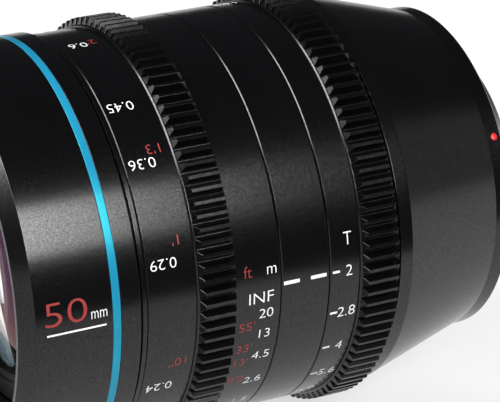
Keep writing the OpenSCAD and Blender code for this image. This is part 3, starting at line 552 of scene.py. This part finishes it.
def grown_mesh(mesh, tree, inputs):
    """Plain mesh of a base mesh after a geometry tree, with the tree's inputs given by name."""
    carrier = linked_object("carrier", mesh)
    modifier = carrier.modifiers.new("grow", "NODES")
    modifier.node_group = tree
    for item in tree.interface.items_tree:
        if item.item_type == "SOCKET" and item.in_out == "INPUT" and item.name in inputs:
            modifier[item.identifier] = inputs[item.name]
    graph = bpy.context.evaluated_depsgraph_get()
    result = bpy.data.meshes.new_from_object(carrier.evaluated_get(graph), depsgraph=graph)
    result.name = mesh.name
    bpy.data.objects.remove(carrier)
    return result


def new_tree(name, sockets):
    """Geometry tree with the named inputs and one geometry in and out."""
    tree = bpy.data.node_groups.new(name, "GeometryNodeTree")
    tree.interface.new_socket("Geometry", in_out="INPUT", socket_type="NodeSocketGeometry")
    for label, kind in sockets:
        tree.interface.new_socket(label, in_out="INPUT", socket_type=kind)
    tree.interface.new_socket("Geometry", in_out="OUTPUT", socket_type="NodeSocketGeometry")
    return tree, tree.nodes.new("NodeGroupInput")


def end_tree(tree, given, part):
    """Joins the part to the base mesh, makes its copies real and sets the material."""
    make, link = tree.nodes.new, tree.links.new
    join = make("GeometryNodeJoinGeometry")
    link(part, join.inputs[0])
    link(given.outputs["Geometry"], join.inputs[0])
    real = make("GeometryNodeRealizeInstances")
    link(join.outputs[0], real.inputs[0])
    paint = make("GeometryNodeSetMaterial")
    link(real.outputs[0], paint.inputs["Geometry"])
    link(given.outputs["Material"], paint.inputs["Material"])
    link(paint.outputs[0], make("NodeGroupOutput").inputs[0])
    return tree


def math_node(tree, operation, *values):
    """Result of a Math node on sockets or numbers."""
    node = tree.nodes.new("ShaderNodeMath")
    node.operation = operation
    for socket, value in zip(node.inputs, values):
        if isinstance(value, bpy.types.NodeSocket):
            tree.links.new(value, socket)
        else:
            socket.default_value = value
    return node.outputs[0]


def gear_tree():
    """Tree that sets copies of one tooth around the axis of a ring."""
    tree, given = new_tree("gear_teeth", [
        ("Tooth", "NodeSocketObject"), ("Teeth", "NodeSocketInt"), ("Material", "NodeSocketMaterial"),
    ])
    make, link = tree.nodes.new, tree.links.new
    points = make("GeometryNodePoints")
    link(given.outputs["Teeth"], points.inputs["Count"])
    index = make("GeometryNodeInputIndex").outputs[0]
    share = math_node(tree, "DIVIDE", index, given.outputs["Teeth"])
    turn = make("ShaderNodeCombineXYZ")
    link(math_node(tree, "MULTIPLY", share, 2 * math.pi), turn.inputs["X"])
    tooth = make("GeometryNodeObjectInfo")
    link(given.outputs["Tooth"], tooth.inputs["Object"])
    copies = make("GeometryNodeInstanceOnPoints")
    link(points.outputs[0], copies.inputs["Points"])
    link(tooth.outputs["Geometry"], copies.inputs["Instance"])
    link(turn.outputs[0], copies.inputs["Rotation"])
    return end_tree(tree, given, copies.outputs[0])


def thread_tree():
    """Tree that winds a thread ridge inside a bore."""
    tree, given = new_tree("filter_thread", [
        ("Turns", "NodeSocketFloat"), ("Radius", "NodeSocketFloat"), ("Length", "NodeSocketFloat"),
        ("Start", "NodeSocketVector"), ("Ridge", "NodeSocketFloat"), ("Material", "NodeSocketMaterial"),
    ])
    make, link = tree.nodes.new, tree.links.new
    coil = make("GeometryNodeCurveSpiral")
    coil.inputs["Resolution"].default_value = 120
    for label, socket in (
        ("Turns", "Rotations"), ("Radius", "Start Radius"), ("Radius", "End Radius"), ("Length", "Height"),
    ):
        link(given.outputs[label], coil.inputs[socket])
    lay = make("GeometryNodeTransform")
    lay.inputs["Rotation"].default_value = (0, -math.pi / 2, 0)
    link(coil.outputs[0], lay.inputs["Geometry"])
    link(given.outputs["Start"], lay.inputs["Translation"])
    ridge = make("GeometryNodeCurvePrimitiveCircle")
    ridge.inputs["Resolution"].default_value = 4
    link(given.outputs["Ridge"], ridge.inputs["Radius"])
    sweep = make("GeometryNodeCurveToMesh")
    sweep.inputs["Fill Caps"].default_value = True
    link(lay.outputs[0], sweep.inputs["Curve"])
    link(ridge.outputs[0], sweep.inputs["Profile Curve"])
    return end_tree(tree, given, sweep.outputs[0])


# Gears

def tooth_outline(sizes, sink=0.15 * MM, land=0.01 * MM, arc_steps=3):
    """Half of a tooth from its gap to its tip, rounded at the root: half widths and radii."""
    root, tip, module = gear_radii(sizes)
    half_gap = math.pi * root / sizes.gear_teeth - land / 2
    half_pitch_width = math.pi * module / 4
    half_tip = half_pitch_width - (tip - FOCUS_GEAR.radius) * math.tan(sizes.flank_angle)
    half_root = half_pitch_width + (FOCUS_GEAR.radius - root) * math.tan(sizes.flank_angle)
    sweep = math.pi / 2 - sizes.flank_angle
    fillet = (half_gap - half_root) / math.tan(sweep / 2)
    points = [(half_gap, root - sink)]
    for k in range(arc_steps + 1):
        turn = sweep * k / arc_steps
        points.append((half_gap - fillet * math.sin(turn), root + fillet * (1 - math.cos(turn))))
    return points + [(half_tip, tip)]


def tooth_object(sizes, gear):
    """One gear tooth at the index side, with leaning ends and its edges broken."""
    root, tip, _ = gear_radii(sizes)
    half = tooth_outline(sizes)
    outline = half + [(-width, radius) for width, radius in reversed(half)]
    bm = bmesh.new()
    ends = []
    for z, way in ((gear.rear, 1), (gear.front, -1)):
        end = []
        for width, radius in outline:
            lean = sizes.tooth_lean * max(0, radius - root) / (tip - root)
            end.append(bm.verts.new(on_lens(z + way * lean, radius, width / radius)))
        bm.faces.new(end)
        ends.append(end)
    for k in range(len(outline)):
        n = (k + 1) % len(outline)
        bm.faces.new((ends[0][k], ends[0][n], ends[1][n], ends[1][k]))
    broken = [(end[k], end[k + 1]) for end in ends for k in range(1, len(outline) - 2)]
    broken += [(ends[0][k], ends[1][k]) for k in (len(half) - 1, len(half))]
    edges = [bm.edges.get(pair) for pair in broken]
    bmesh.ops.recalc_face_normals(bm, faces=bm.faces)
    bmesh.ops.bevel(bm, geom=edges, offset=sizes.tooth_edge, segments=1, affect="EDGES", profile=0.5)
    return linked_object("gear_tooth", finished_mesh("gear_tooth", bm, sharp=0))


def geared_mesh(name, outline, gear, sizes, material):
    """Turned ring with gear teeth around it."""
    tooth = tooth_object(sizes, gear)
    mesh = grown_mesh(turned_mesh(name, outline, sizes.steps), gear_tree(), {
        "Tooth": tooth, "Teeth": sizes.gear_teeth, "Material": material,
    })
    bpy.data.objects.remove(tooth)
    return mesh


# Marks

def wrap_slab(bm, points, faces, z, angle, radius, flip=False):
    """Adds a flat slab, laid around a ring: first axis to the rear, second axis up, third outwards."""
    way = -1 if flip else 1
    verts = []
    for u, v, w in points:
        verts.append(bm.verts.new(on_lens(z - way * u, radius + w, angle + way * v / radius)))
    for face in faces:
        bm.faces.new([verts[k] for k in face])


def slab_data(bm):
    """Points and faces of a working mesh, which is freed."""
    bm.verts.index_update()
    points = [tuple(v.co) for v in bm.verts]
    faces = [[v.index for v in f.verts] for f in bm.faces]
    bm.free()
    return points, faces


def bar_slab(length, height, relief, steps=12):
    """Points and faces of a flat bar from its left end, about its middle height."""
    bm = bmesh.new()
    bmesh.ops.create_grid(bm, x_segments=2, y_segments=steps, size=0.5)
    for vert in bm.verts:
        vert.co = Vector(((vert.co.x + 0.5) * length, vert.co.y * height, relief))
    shell = bmesh.ops.extrude_face_region(bm, geom=bm.faces[:])
    for item in shell["geom"]:
        if isinstance(item, bmesh.types.BMVert):
            item.co.z = -relief
    return slab_data(bm)


def figure_mesh(text, thinned):
    """Working mesh of a line of figures, one unit in size, with its strokes thinned."""
    curve = bpy.data.curves.new("figures", "FONT")
    curve.body = text
    curve.offset = -thinned
    curve.resolution_u = 4
    curve.extrude = 0.1
    holder = linked_object("figures", curve)
    graph = bpy.context.evaluated_depsgraph_get()
    mesh = bpy.data.meshes.new_from_object(holder.evaluated_get(graph), depsgraph=graph)
    bpy.data.objects.remove(holder)
    bpy.data.curves.remove(curve)
    bm = bmesh.new()
    bm.from_mesh(mesh)
    bpy.data.meshes.remove(mesh)
    bmesh.ops.remove_doubles(bm, verts=bm.verts, dist=1e-5)
    return bm


def word_slab(text, height, relief, stretch, thinned, digit_height=0.729, slice_height=0.4 * MM):
    """Points, faces and width of a line of figures, sliced across so that it can be laid around a ring."""
    bm = figure_mesh(text, thinned)
    left = min(v.co.x for v in bm.verts)
    scale = height / digit_height
    for vert in bm.verts:
        vert.co = Vector((
            (vert.co.x - left) * scale * stretch, vert.co.y * scale, math.copysign(relief, vert.co.z)
        ))
    top = max(v.co.y for v in bm.verts)
    for k in range(1, int(top / slice_height) + 1):
        cut = Vector((0, k * slice_height, 0))
        bmesh.ops.bisect_plane(
            bm, geom=bm.verts[:] + bm.edges[:] + bm.faces[:], plane_co=cut, plane_no=Vector((0, 1, 0))
        )
    width = max(v.co.x for v in bm.verts)
    points, faces = slab_data(bm)
    return points, faces, width


def add_word(
    bm, text, height, marks, z, angle, radius, flip=False, centred=True, stretch=1.12, thinned=0.011
):
    """Adds a line of figures whose middle height is at the angle."""
    points, faces, width = word_slab(text, height, marks.relief, stretch, thinned)
    shift = width / 2 if centred else 0
    placed = [(u - shift, v - height / 2, w) for u, v, w in points]
    wrap_slab(bm, placed, faces, z, angle, radius, flip)


def add_bar(bm, length, height, marks, z, angle, radius):
    """Adds a bar that runs to the rear from a place ahead of the flange."""
    points, faces = bar_slab(length, height, marks.relief)
    wrap_slab(bm, points, faces, z, angle, radius)


# Materials

def new_finish(name):
    """Material with a shader, its output and object coordinates."""
    finish = bpy.data.materials.new(name)
    finish.use_nodes = True
    nodes = finish.node_tree.nodes
    nodes.clear()
    output = nodes.new("ShaderNodeOutputMaterial")
    shader = nodes.new("ShaderNodeBsdfPrincipled")
    finish.node_tree.links.new(shader.outputs[0], output.inputs["Surface"])
    coords = nodes.new("ShaderNodeTexCoord")
    return finish, shader, coords.outputs["Object"]


def grain(finish, coords, scale, detail=3.0):
    """Noise of a given number of grains in a metre."""
    noise = finish.node_tree.nodes.new("ShaderNodeTexNoise")
    noise.inputs["Scale"].default_value = scale
    noise.inputs["Detail"].default_value = detail
    finish.node_tree.links.new(coords, noise.inputs["Vector"])
    return noise.outputs[0]


def turning_lines(finish, coords, scale):
    """Noise in rings about the lens axis, as a lathe leaves it."""
    nodes, link = finish.node_tree.nodes, finish.node_tree.links.new
    split = nodes.new("ShaderNodeSeparateXYZ")
    link(coords, split.inputs[0])
    across = nodes.new("ShaderNodeCombineXYZ")
    link(split.outputs["Y"], across.inputs["Y"])
    link(split.outputs["Z"], across.inputs["Z"])
    length = nodes.new("ShaderNodeVectorMath")
    length.operation = "LENGTH"
    link(across.outputs[0], length.inputs[0])
    noise = nodes.new("ShaderNodeTexNoise")
    noise.noise_dimensions = "1D"
    noise.inputs["Scale"].default_value = scale
    noise.inputs["Detail"].default_value = 4
    place = math_node(finish.node_tree, "ADD", length.outputs["Value"], split.outputs["X"])
    link(place, noise.inputs["W"])
    return noise.outputs[0]


def spread(finish, value, low, high, floor=0.3, ceiling=0.7):
    """Maps a noise to a range."""
    ramp = finish.node_tree.nodes.new("ShaderNodeMapRange")
    for label, number in (("From Min", floor), ("From Max", ceiling), ("To Min", low), ("To Max", high)):
        ramp.inputs[label].default_value = number
    finish.node_tree.links.new(value, ramp.inputs["Value"])
    return ramp.outputs[0]


def roughened(finish, shader, value, low, high):
    """Roughness between two limits, by a noise."""
    finish.node_tree.links.new(spread(finish, value, low, high), shader.inputs["Roughness"])


def scaled(colour, factor):
    """Colour made lighter or darker."""
    return tuple(min(1, c * factor) for c in colour)


def tinted(finish, shader, value, colour, dark, light):
    """Base colour between a darker and a lighter tint, by a noise."""
    ramp = finish.node_tree.nodes.new("ShaderNodeValToRGB")
    for stop, position, factor in zip(ramp.color_ramp.elements, (0.3, 0.7), (dark, light)):
        stop.position = position
        stop.color = (*scaled(colour, factor), 1)
    finish.node_tree.links.new(value, ramp.inputs["Fac"])
    finish.node_tree.links.new(ramp.outputs["Color"], shader.inputs["Base Color"])


def bumped(finish, shader, value, strength, distance=0.01 * MM):
    """Surface relief by a noise."""
    bump = finish.node_tree.nodes.new("ShaderNodeBump")
    bump.inputs["Strength"].default_value = strength
    bump.inputs["Distance"].default_value = distance
    finish.node_tree.links.new(value, bump.inputs["Height"])
    finish.node_tree.links.new(bump.outputs[0], shader.inputs["Normal"])


def anodised(name, colour, rough, relief, lines=False):
    """Anodised aluminium: fine blasted grain or turning lines."""
    finish, shader, coords = new_finish(name)
    tinted(finish, shader, grain(finish, coords, 90), colour, 0.85, 1.15)
    fine = turning_lines(finish, coords, 9000) if lines else grain(finish, coords, 3000, 1)
    roughened(finish, shader, grain(finish, coords, 1500), rough - 0.02, rough + 0.02)
    finish.node_tree.links.new(spread(finish, fine, 0.36, 0.64), shader.inputs["Specular IOR Level"])
    bumped(finish, shader, fine, relief)
    return finish


def dyed(name, colour, gloss):
    """Dyed aluminium whose gloss is tinted too."""
    finish, shader, coords = new_finish(name)
    tinted(finish, shader, grain(finish, coords, 120), colour, 0.9, 1.1)
    shader.inputs["IOR"].default_value = 1.75
    shader.inputs["Specular Tint"].default_value = (*gloss, 1)
    lines = turning_lines(finish, coords, 9000)
    roughened(finish, shader, lines, 0.22, 0.28)
    bumped(finish, shader, lines, 0.05, 0.02 * MM)
    return finish


def painted(name, colour):
    """Paint or enamel, a little uneven."""
    finish, shader, coords = new_finish(name)
    tinted(finish, shader, grain(finish, coords, 1800), colour, 0.92, 1.04)
    roughened(finish, shader, grain(finish, coords, 4000), 0.4, 0.55)
    return finish


def turned_metal(name, colour, rough):
    """Bare or plated metal with turning lines."""
    finish, shader, coords = new_finish(name)
    shader.inputs["Metallic"].default_value = 1
    tinted(finish, shader, grain(finish, coords, 140), colour, 0.92, 1.05)
    lines = turning_lines(finish, coords, 12000)
    roughened(finish, shader, lines, rough - 0.05, rough + 0.08)
    bumped(finish, shader, lines, 0.15)
    return finish


def coated_glass(name, tint, film):
    """Clear glass with a coloured coating, whose film is given in nanometres."""
    finish, shader, coords = new_finish(name)
    shader.inputs["Base Color"].default_value = (*tint, 1)
    shader.inputs["Transmission Weight"].default_value = 1
    shader.inputs["IOR"].default_value = 1.62
    shader.inputs["Thin Film Thickness"].default_value = film
    shader.inputs["Thin Film IOR"].default_value = 1.38
    roughened(finish, shader, grain(finish, coords, 60), 0.0, 0.004)
    return finish


def floor_finish(white, glow, fade_near=-0.34, fade_far=-0.02):
    """Pale floor with a painted glow, white to the eye and in reflections, whose glow fades out in front of
    the index side as painted shade.
    """
    finish, shader, coords = new_finish("floor_white")
    tree = finish.node_tree
    tinted(finish, shader, grain(finish, coords, 3), white, 0.99, 1.01)
    shader.inputs["Roughness"].default_value = 0.9
    shader.inputs["Specular IOR Level"].default_value = 0.1
    path = tree.nodes.new("ShaderNodeLightPath")
    seen = path.outputs["Is Camera Ray"]
    for kind in ("Is Glossy Ray", "Is Transmission Ray"):
        seen = math_node(tree, "MAXIMUM", seen, path.outputs[kind])
    split = tree.nodes.new("ShaderNodeSeparateXYZ")
    tree.links.new(coords, split.inputs[0])
    across = math_node(tree, "ADD", split.outputs["X"], split.outputs["Y"])
    # Painted shade: the glow ramps down by X plus Y, so the floor is darker in the lens's reflections
    # towards the front on the index side.
    fade = spread(finish, across, 0, glow, fade_near, fade_far)
    tree.links.new(math_node(tree, "MULTIPLY", seen, fade), shader.inputs["Emission Strength"])
    shader.inputs["Emission Color"].default_value = (1, 1, 1, 1)
    return finish


def finish_of(name, make, colour, **details):
    """Finish by its name, made once from its colour and details."""
    return bpy.data.materials.get(name) or make(name, colour, **details)


def barrel_finish(context):
    """Satin black of the outer rings."""
    black = context.scene.lens_finishes.barrel_black
    return finish_of("barrel_anodised", anodised, black, rough=0.2, relief=0.15)


def dress(material, *names):
    """Gives CAD nodes a finish."""
    for name in names:
        mesh = frame["nodes"][name].data
        mesh.materials.clear()
        mesh.materials.append(material)


# Operators

class LENS_OT_front(bpy.types.Operator):
    """Makes the front band with its filter thread, the band behind it and the blue ring between them"""

    bl_idname = "lens.front"
    bl_label = "Front bands"

    def execute(self, context):
        """Turns the three rings and winds the thread."""
        sizes = context.scene.lens_rings
        finishes = context.scene.lens_finishes
        black = barrel_finish(context)
        band = self.threaded_band(sizes, black)
        add_piece("front_band", band, black, "barrel", "front_ring")
        tail = turned_mesh("front_tail", front_tail_outline(sizes), sizes.steps)
        add_piece("front_tail", tail, black, "barrel", "front_barrel")
        blue = finish_of("accent_dyed", dyed, finishes.accent_blue, gloss=finishes.accent_gloss)
        ring = turned_mesh("blue_ring", accent_outline(sizes), sizes.steps)
        add_piece("blue_ring", ring, blue, "barrel", "accent_ring")
        return {"FINISHED"}

    def threaded_band(self, sizes, black, inset=0.4 * MM, ridge=0.33 * MM):
        """Mesh of the front band with its filter thread."""
        length = THREAD.front - THREAD.rear - 2 * inset
        return grown_mesh(turned_mesh("front_band", front_band_outline(sizes), sizes.steps), thread_tree(), {
            "Turns": length / sizes.thread_pitch, "Radius": THREAD.radius, "Length": length,
            "Start": (-THREAD.rear - inset, 0, 0), "Ridge": ridge, "Material": black,
        })


class LENS_OT_focus(bpy.types.Operator):
    """Makes the focus ring with its gear"""

    bl_idname = "lens.focus"
    bl_label = "Focus ring"

    def execute(self, context):
        """Turns the ring and sets the teeth around it."""
        sizes = context.scene.lens_rings
        black = barrel_finish(context)
        mesh = geared_mesh("focus_grip", focus_outline(sizes), FOCUS_GEAR, sizes, black)
        add_piece("focus_grip", mesh, black, "focus_ring", "focus_ring")
        return {"FINISHED"}


class LENS_OT_iris(bpy.types.Operator):
    """Makes the iris ring with its gear"""

    bl_idname = "lens.iris"
    bl_label = "Iris ring"

    def execute(self, context):
        """Turns the ring and sets the teeth around it."""
        sizes = context.scene.lens_rings
        black = barrel_finish(context)
        mesh = geared_mesh("iris_grip", iris_outline(sizes), IRIS_GEAR, sizes, black)
        add_piece("iris_grip", mesh, black, "iris_ring", "iris_ring")
        return {"FINISHED"}


class LENS_OT_barrels(bpy.types.Operator):
    """Makes the index barrel and the conical rear barrel"""

    bl_idname = "lens.barrels"
    bl_label = "Barrels"

    def execute(self, context):
        """Turns both barrels."""
        sizes = context.scene.lens_rings
        black = barrel_finish(context)
        for name, outline, node in (
            ("index_band", index_outline(sizes), "index_barrel"),
            ("rear_cone", rear_outline(sizes), "rear_barrel"),
        ):
            mesh = turned_mesh(name, outline, sizes.steps)
            add_piece(name, mesh, black, "barrel", node)
        return {"FINISHED"}


class LENS_OT_marks(bpy.types.Operator):
    """Makes the index marks, the focus and iris scales and the number on the front band"""

    bl_idname = "lens.marks"
    bl_label = "Marks"

    def execute(self, context):
        """Lays each group of marks around its ring."""
        marks = context.scene.lens_marks
        finishes = context.scene.lens_finishes
        radius = context.scene.lens_rings.ring_radius
        white = finish_of("mark_white", painted, finishes.paint_white)
        red = finish_of("mark_red", painted, finishes.paint_red)
        self.index_marks(marks, radius, white)
        self.iris_scale(marks, radius, white)
        self.focus_scale(METRES, marks.metre_height, marks, radius, white)
        self.focus_scale(FEET, marks.foot_height, marks, radius, red)
        self.front_number(marks, red)
        self.front_unit(marks, white)
        return {"FINISHED"}

    def index_marks(self, marks, radius, white, inset=0.4 * MM, pitch=6 * MM):
        """Two dashes on each side of the index barrel."""
        bm = bmesh.new()
        for z in (INDEX_FRONT - inset, INDEX_FRONT - inset - pitch):
            for side in SIDES:
                add_bar(bm, marks.dash_length, marks.dash_width, marks, z, side + marks.index_angle, radius)
        add_piece("index_marks", finished_mesh("index_marks", bm), white, "barrel")

    def iris_scale(self, marks, radius, white):
        """Ticks and figures of the stops on both sides of the iris ring, with the letter of the scale."""
        tick_z = IRIS_FRONT - 0.5 * MM
        figure_z = IRIS_FRONT - 4.2 * MM
        letter_z = IRIS_FRONT - 4 * MM
        letter_height = 2.9 * MM
        letter_angle = math.radians(10)
        bm = bmesh.new()
        for side in SIDES:
            for k, text in enumerate(STOPS):
                angle = side + marks.index_angle - math.radians(k * STOP_TURN)
                add_bar(bm, marks.tick_length, marks.tick_width, marks, tick_z, angle, radius)
                add_word(
                    bm, text, marks.stop_height, marks, figure_z, angle, radius, flip=side > 0, stretch=1
                )
            angle = side + letter_angle
            add_word(bm, "T", letter_height, marks, letter_z, angle, radius, flip=side > 0, stretch=0.8)
        add_piece("iris_marks", finished_mesh("iris_marks", bm), white, "iris_ring")

    def focus_scale(self, scale, height, marks, radius, paint):
        """One focus scale in two rows: far, and near in the other reading direction, with its units."""
        far_start = -1.6
        near_start = 178
        infinity_ahead = 1.2 * MM
        infinity_growth = 1.16
        unit_angle = math.radians(6.2)
        bm = bmesh.new()
        for text, turn in scale.marks:
            far = math.radians(far_start - turn)
            near = math.radians(near_start - turn)
            ahead, tall = (infinity_ahead, infinity_growth * height) if text == "INF" else (0, height)
            add_word(bm, text, tall, marks, scale.far + ahead, far, radius)
            add_word(bm, text, tall, marks, scale.near, near, radius, flip=True)
        for z, side in zip((scale.far + scale.unit_ahead, scale.near - scale.unit_ahead), SIDES):
            angle = side + unit_angle
            add_word(
                bm, scale.unit, marks.unit_height, marks, z, angle, radius, flip=side > 0, stretch=0.9
            )
        add_piece(scale.piece, finished_mesh(scale.piece, bm), paint, "focus_ring")

    def front_number(self, marks, red, inset=4.4 * MM, angle=math.radians(6.4)):
        """Plain number on the front band."""
        bm = bmesh.new()
        add_word(
            bm, marks.focal_length, marks.number_height, marks, BAND.front - inset, angle, BAND.radius,
            centred=False, stretch=1.38, thinned=0.012
        )
        add_piece("front_number", finished_mesh("front_number", bm), red, "barrel")

    def front_unit(self, marks, white):
        """Unit beside the number, and the line below both."""
        line_length = 12.1 * MM
        line_width = 0.36 * MM
        line_z = BAND.front - 4.7 * MM
        line_angle = math.radians(0.7)
        unit_height = 2.5 * MM
        unit_z = BAND.front - 13.8 * MM
        unit_angle = math.radians(4.6)
        bm = bmesh.new()
        add_bar(bm, line_length, line_width, marks, line_z, line_angle, BAND.radius)
        add_word(bm, "mm", unit_height, marks, unit_z, unit_angle, BAND.radius, centred=False, stretch=0.68)
        add_piece("front_bar", finished_mesh("front_bar", bm), white, "barrel")


class LENS_OT_glass(bpy.types.Operator):
    """Makes the coated glass elements"""

    bl_idname = "lens.glass"
    bl_label = "Glass"

    def execute(self, context):
        """Turns each element from the curves of its CAD node."""
        steps = context.scene.lens_rings.steps // 2
        tint = context.scene.lens_finishes.glass_tint
        films = (420, 360, 480)
        for k, element in enumerate(numbered_nodes("element_"), start=1):
            coat = k % len(films)
            glass = finish_of("coated_glass_%d" % coat, coated_glass, tint, film=films[coat])
            node = frame["nodes"][element]
            name = "glass_%d" % k
            mesh = turned_mesh(name, element_outline(node), steps)
            add_piece(name, mesh, glass, body_of(node)[0], element)
        return {"FINISHED"}


class LENS_OT_mount(bpy.types.Operator):
    """Gives the mount its plated metal, the shim its brass, the screws their steel and the dot its enamel"""

    bl_idname = "lens.mount"
    bl_label = "Mount"

    def execute(self, context):
        """Dresses the CAD nodes of the mount and the screws."""
        finishes = context.scene.lens_finishes
        dress(finish_of("mount_plated", turned_metal, finishes.plating, rough=0.26), "mount_flange")
        steel = finish_of("screw_steel_bright", turned_metal, finishes.steel, rough=0.3)
        dress(steel, "mount_screws", "index_screws", "focus_cam_screws")
        dress(finish_of("shim_brass", turned_metal, finishes.brass, rough=0.3), "mount_shim")
        dress(finish_of("dot_enamel", painted, finishes.dot_red), "mount_dot")
        return {"FINISHED"}


class LENS_OT_inside(bpy.types.Operator):
    """Gives the pieces inside the barrel their finishes"""

    bl_idname = "lens.inside"
    bl_label = "Inside"

    def execute(self, context):
        """Dresses the CAD nodes of the cells, cams, pins and blades."""
        finishes = context.scene.lens_finishes
        dress(
            finish_of("matt_black", anodised, finishes.matt_black, rough=0.62, relief=0.3, lines=True),
            "rear_baffle", "rear_lock_ring", "rear_cell", "rear_cell_lock_ring", "rear_retaining_ring",
            "rear_spacer_front", "rear_spacer_rear", "iris_housing", "iris_cover", "iris_lock_ring",
            "front_lock_ring", "front_trim", "front_cell", "front_retaining_ring", "front_spacer",
            "focus_carriage", "carriage_spacer", "carriage_retaining_ring",
        )
        metal = finish_of("inner_aluminium", turned_metal, finishes.aluminium, rough=0.35)
        dress(metal, "guide_tube", "focus_cam", "iris_drive_ring")
        brass = finish_of("pin_brass", turned_metal, finishes.brass, rough=0.3)
        dress(brass, "focus_stop_pin", "iris_stop_pin", "cam_followers", "iris_link_pin")
        dress(finish_of("slip_plastic", painted, finishes.slip_plastic), "focus_slip_washers")
        blades = finish_of("blade_steel", turned_metal, finishes.blade_black, rough=0.4)
        dress(blades, *numbered_nodes("iris_blade_"))
        return {"FINISHED"}


class LENS_OT_stage(bpy.types.Operator):
    """Makes the floor, the lamps, the world and the camera"""

    bl_idname = "lens.stage"
    bl_label = "Stage"

    def execute(self, context):
        """Sets the view transform and makes each part of the stage."""
        scene = context.scene
        scene.view_settings.view_transform = "Standard"
        self.floor(scene.lens_stage)
        self.lamps(scene.lens_stage)
        self.card(scene.lens_stage)
        self.world(scene)
        self.camera(scene, scene.lens_stage)
        return {"FINISHED"}

    def floor(self, stage, half_width=3, squares=8):
        """Level floor under the lens."""
        bm = bmesh.new()
        bmesh.ops.create_grid(bm, x_segments=squares, y_segments=squares, size=half_width)
        for vert in bm.verts:
            vert.co.z = CAD_BOX[0][2]
        floor = linked_object("floor", finished_mesh("floor", bm))
        floor.data.materials.append(floor_finish(stage.floor_white, stage.floor_glow))

    def lamps(self, stage):
        """Softboxes that look at the middle of the lens."""
        for name, box in SOFTBOXES.items():
            light = bpy.data.lights.new(name + "_softbox", "AREA")
            light.shape = "RECTANGLE"
            light.size = box.width
            light.size_y = box.height
            light.energy = getattr(stage, name + "_power")
            lamp = linked_object(light.name, light)
            toward = heading(box.azimuth, box.elevation)
            lamp.location = LENS_MIDDLE + toward * box.distance
            lamp.rotation_euler = toward.to_track_quat("Z", "Y").to_euler()

    def card(self, stage, azimuth=25, distance=0.17, left=-0.25, right=0.06, top=0.035):
        """Black card seen only in reflections, out of the camera's sight: a painted dark reflection that
        keeps the horizon out of the gloss.
        """
        way = heading(azimuth, 0)
        along = Vector((-way.y, way.x, 0))
        foot = LENS_MIDDLE + way * distance
        bottom = CAD_BOX[0][2]
        bm = bmesh.new()
        corners = []
        for side, level in ((left, bottom), (right, bottom), (right, top), (left, top)):
            place = foot + along * side
            corners.append(bm.verts.new((place.x, place.y, level)))
        bm.faces.new(corners)
        card = linked_object("black_card", finished_mesh("black_card", bm))
        # Painted reflection: only glossy rays see the card, a dark sheet that paints a dark band between the
        # key's highlight and the floor in the gloss.
        for ray in ("camera", "diffuse", "shadow", "transmission"):
            setattr(card, "visible_" + ray, False)
        card.data.materials.append(finish_of("card_black", painted, stage.card_black))

    def world(self, scene, colour=(0.9, 0.95, 1, 1), strength=0.04):
        """Dim, cool light from all around."""
        world = bpy.data.worlds.new("studio")
        world.use_nodes = True
        sky = world.node_tree.nodes["Background"]
        sky.inputs["Color"].default_value = colour
        sky.inputs["Strength"].default_value = strength
        scene.world = world

    def camera(self, scene, stage):
        """Camera at the photograph's viewing angle."""
        data = bpy.data.cameras.new("photo_camera")
        data.sensor_fit = "HORIZONTAL"
        data.sensor_width = 36
        data.lens = stage.camera_lens
        data.clip_start = 0.01
        data.clip_end = 20
        camera = linked_object("photo_camera", data)
        camera.location = stage.camera_place
        turn = Matrix.Rotation(stage.camera_azimuth, 3, "Z")
        tilt = Matrix.Rotation(math.pi / 2 - stage.camera_elevation, 3, "X")
        camera.rotation_euler = (turn @ tilt).to_euler()
        scene.camera = camera


class LENS_PT_panel(bpy.types.Panel):
    """Lists the pieces of the lens, their sizes and their colours"""

    bl_idname = "LENS_PT_panel"
    bl_label = "Cinema prime lens"
    bl_space_type = "VIEW_3D"
    bl_region_type = "UI"
    bl_category = "Lens"

    def draw(self, context):
        """Draws a button for each operator and a field for each property."""
        for operator in OPERATORS:
            self.layout.operator(operator.bl_idname)
        for label, group in GROUPS.items():
            for field in group.__annotations__:
                self.layout.prop(getattr(context.scene, label), field)


OPERATORS = (
    LENS_OT_front, LENS_OT_focus, LENS_OT_iris, LENS_OT_barrels, LENS_OT_marks, LENS_OT_glass,
    LENS_OT_mount, LENS_OT_inside, LENS_OT_stage,
)
GROUPS = {
    "lens_rings": LensRingSizes, "lens_marks": LensMarkSizes, "lens_finishes": LensFinishes,
    "lens_stage": LensStage,
}


def register():
    """Registers the property groups, the operators and the panel."""
    for label, group in GROUPS.items():
        bpy.utils.register_class(group)
        setattr(bpy.types.Scene, label, PointerProperty(type=group))
    for item in (*OPERATORS, LENS_PT_panel):
        bpy.utils.register_class(item)


def unregister():
    """Takes back what register has added."""
    for item in (LENS_PT_panel, *reversed(OPERATORS)):
        bpy.utils.unregister_class(item)
    for label, group in GROUPS.items():
        delattr(bpy.types.Scene, label)
        bpy.utils.unregister_class(group)


def main():
    """Builds the lens and its stage."""
    register()
    bpy.ops.lens.front()
    bpy.ops.lens.focus()
    bpy.ops.lens.iris()
    bpy.ops.lens.barrels()
    bpy.ops.lens.marks()
    bpy.ops.lens.glass()
    bpy.ops.lens.mount()
    bpy.ops.lens.inside()
    bpy.ops.lens.stage()


if __name__ == "__main__":
    main()
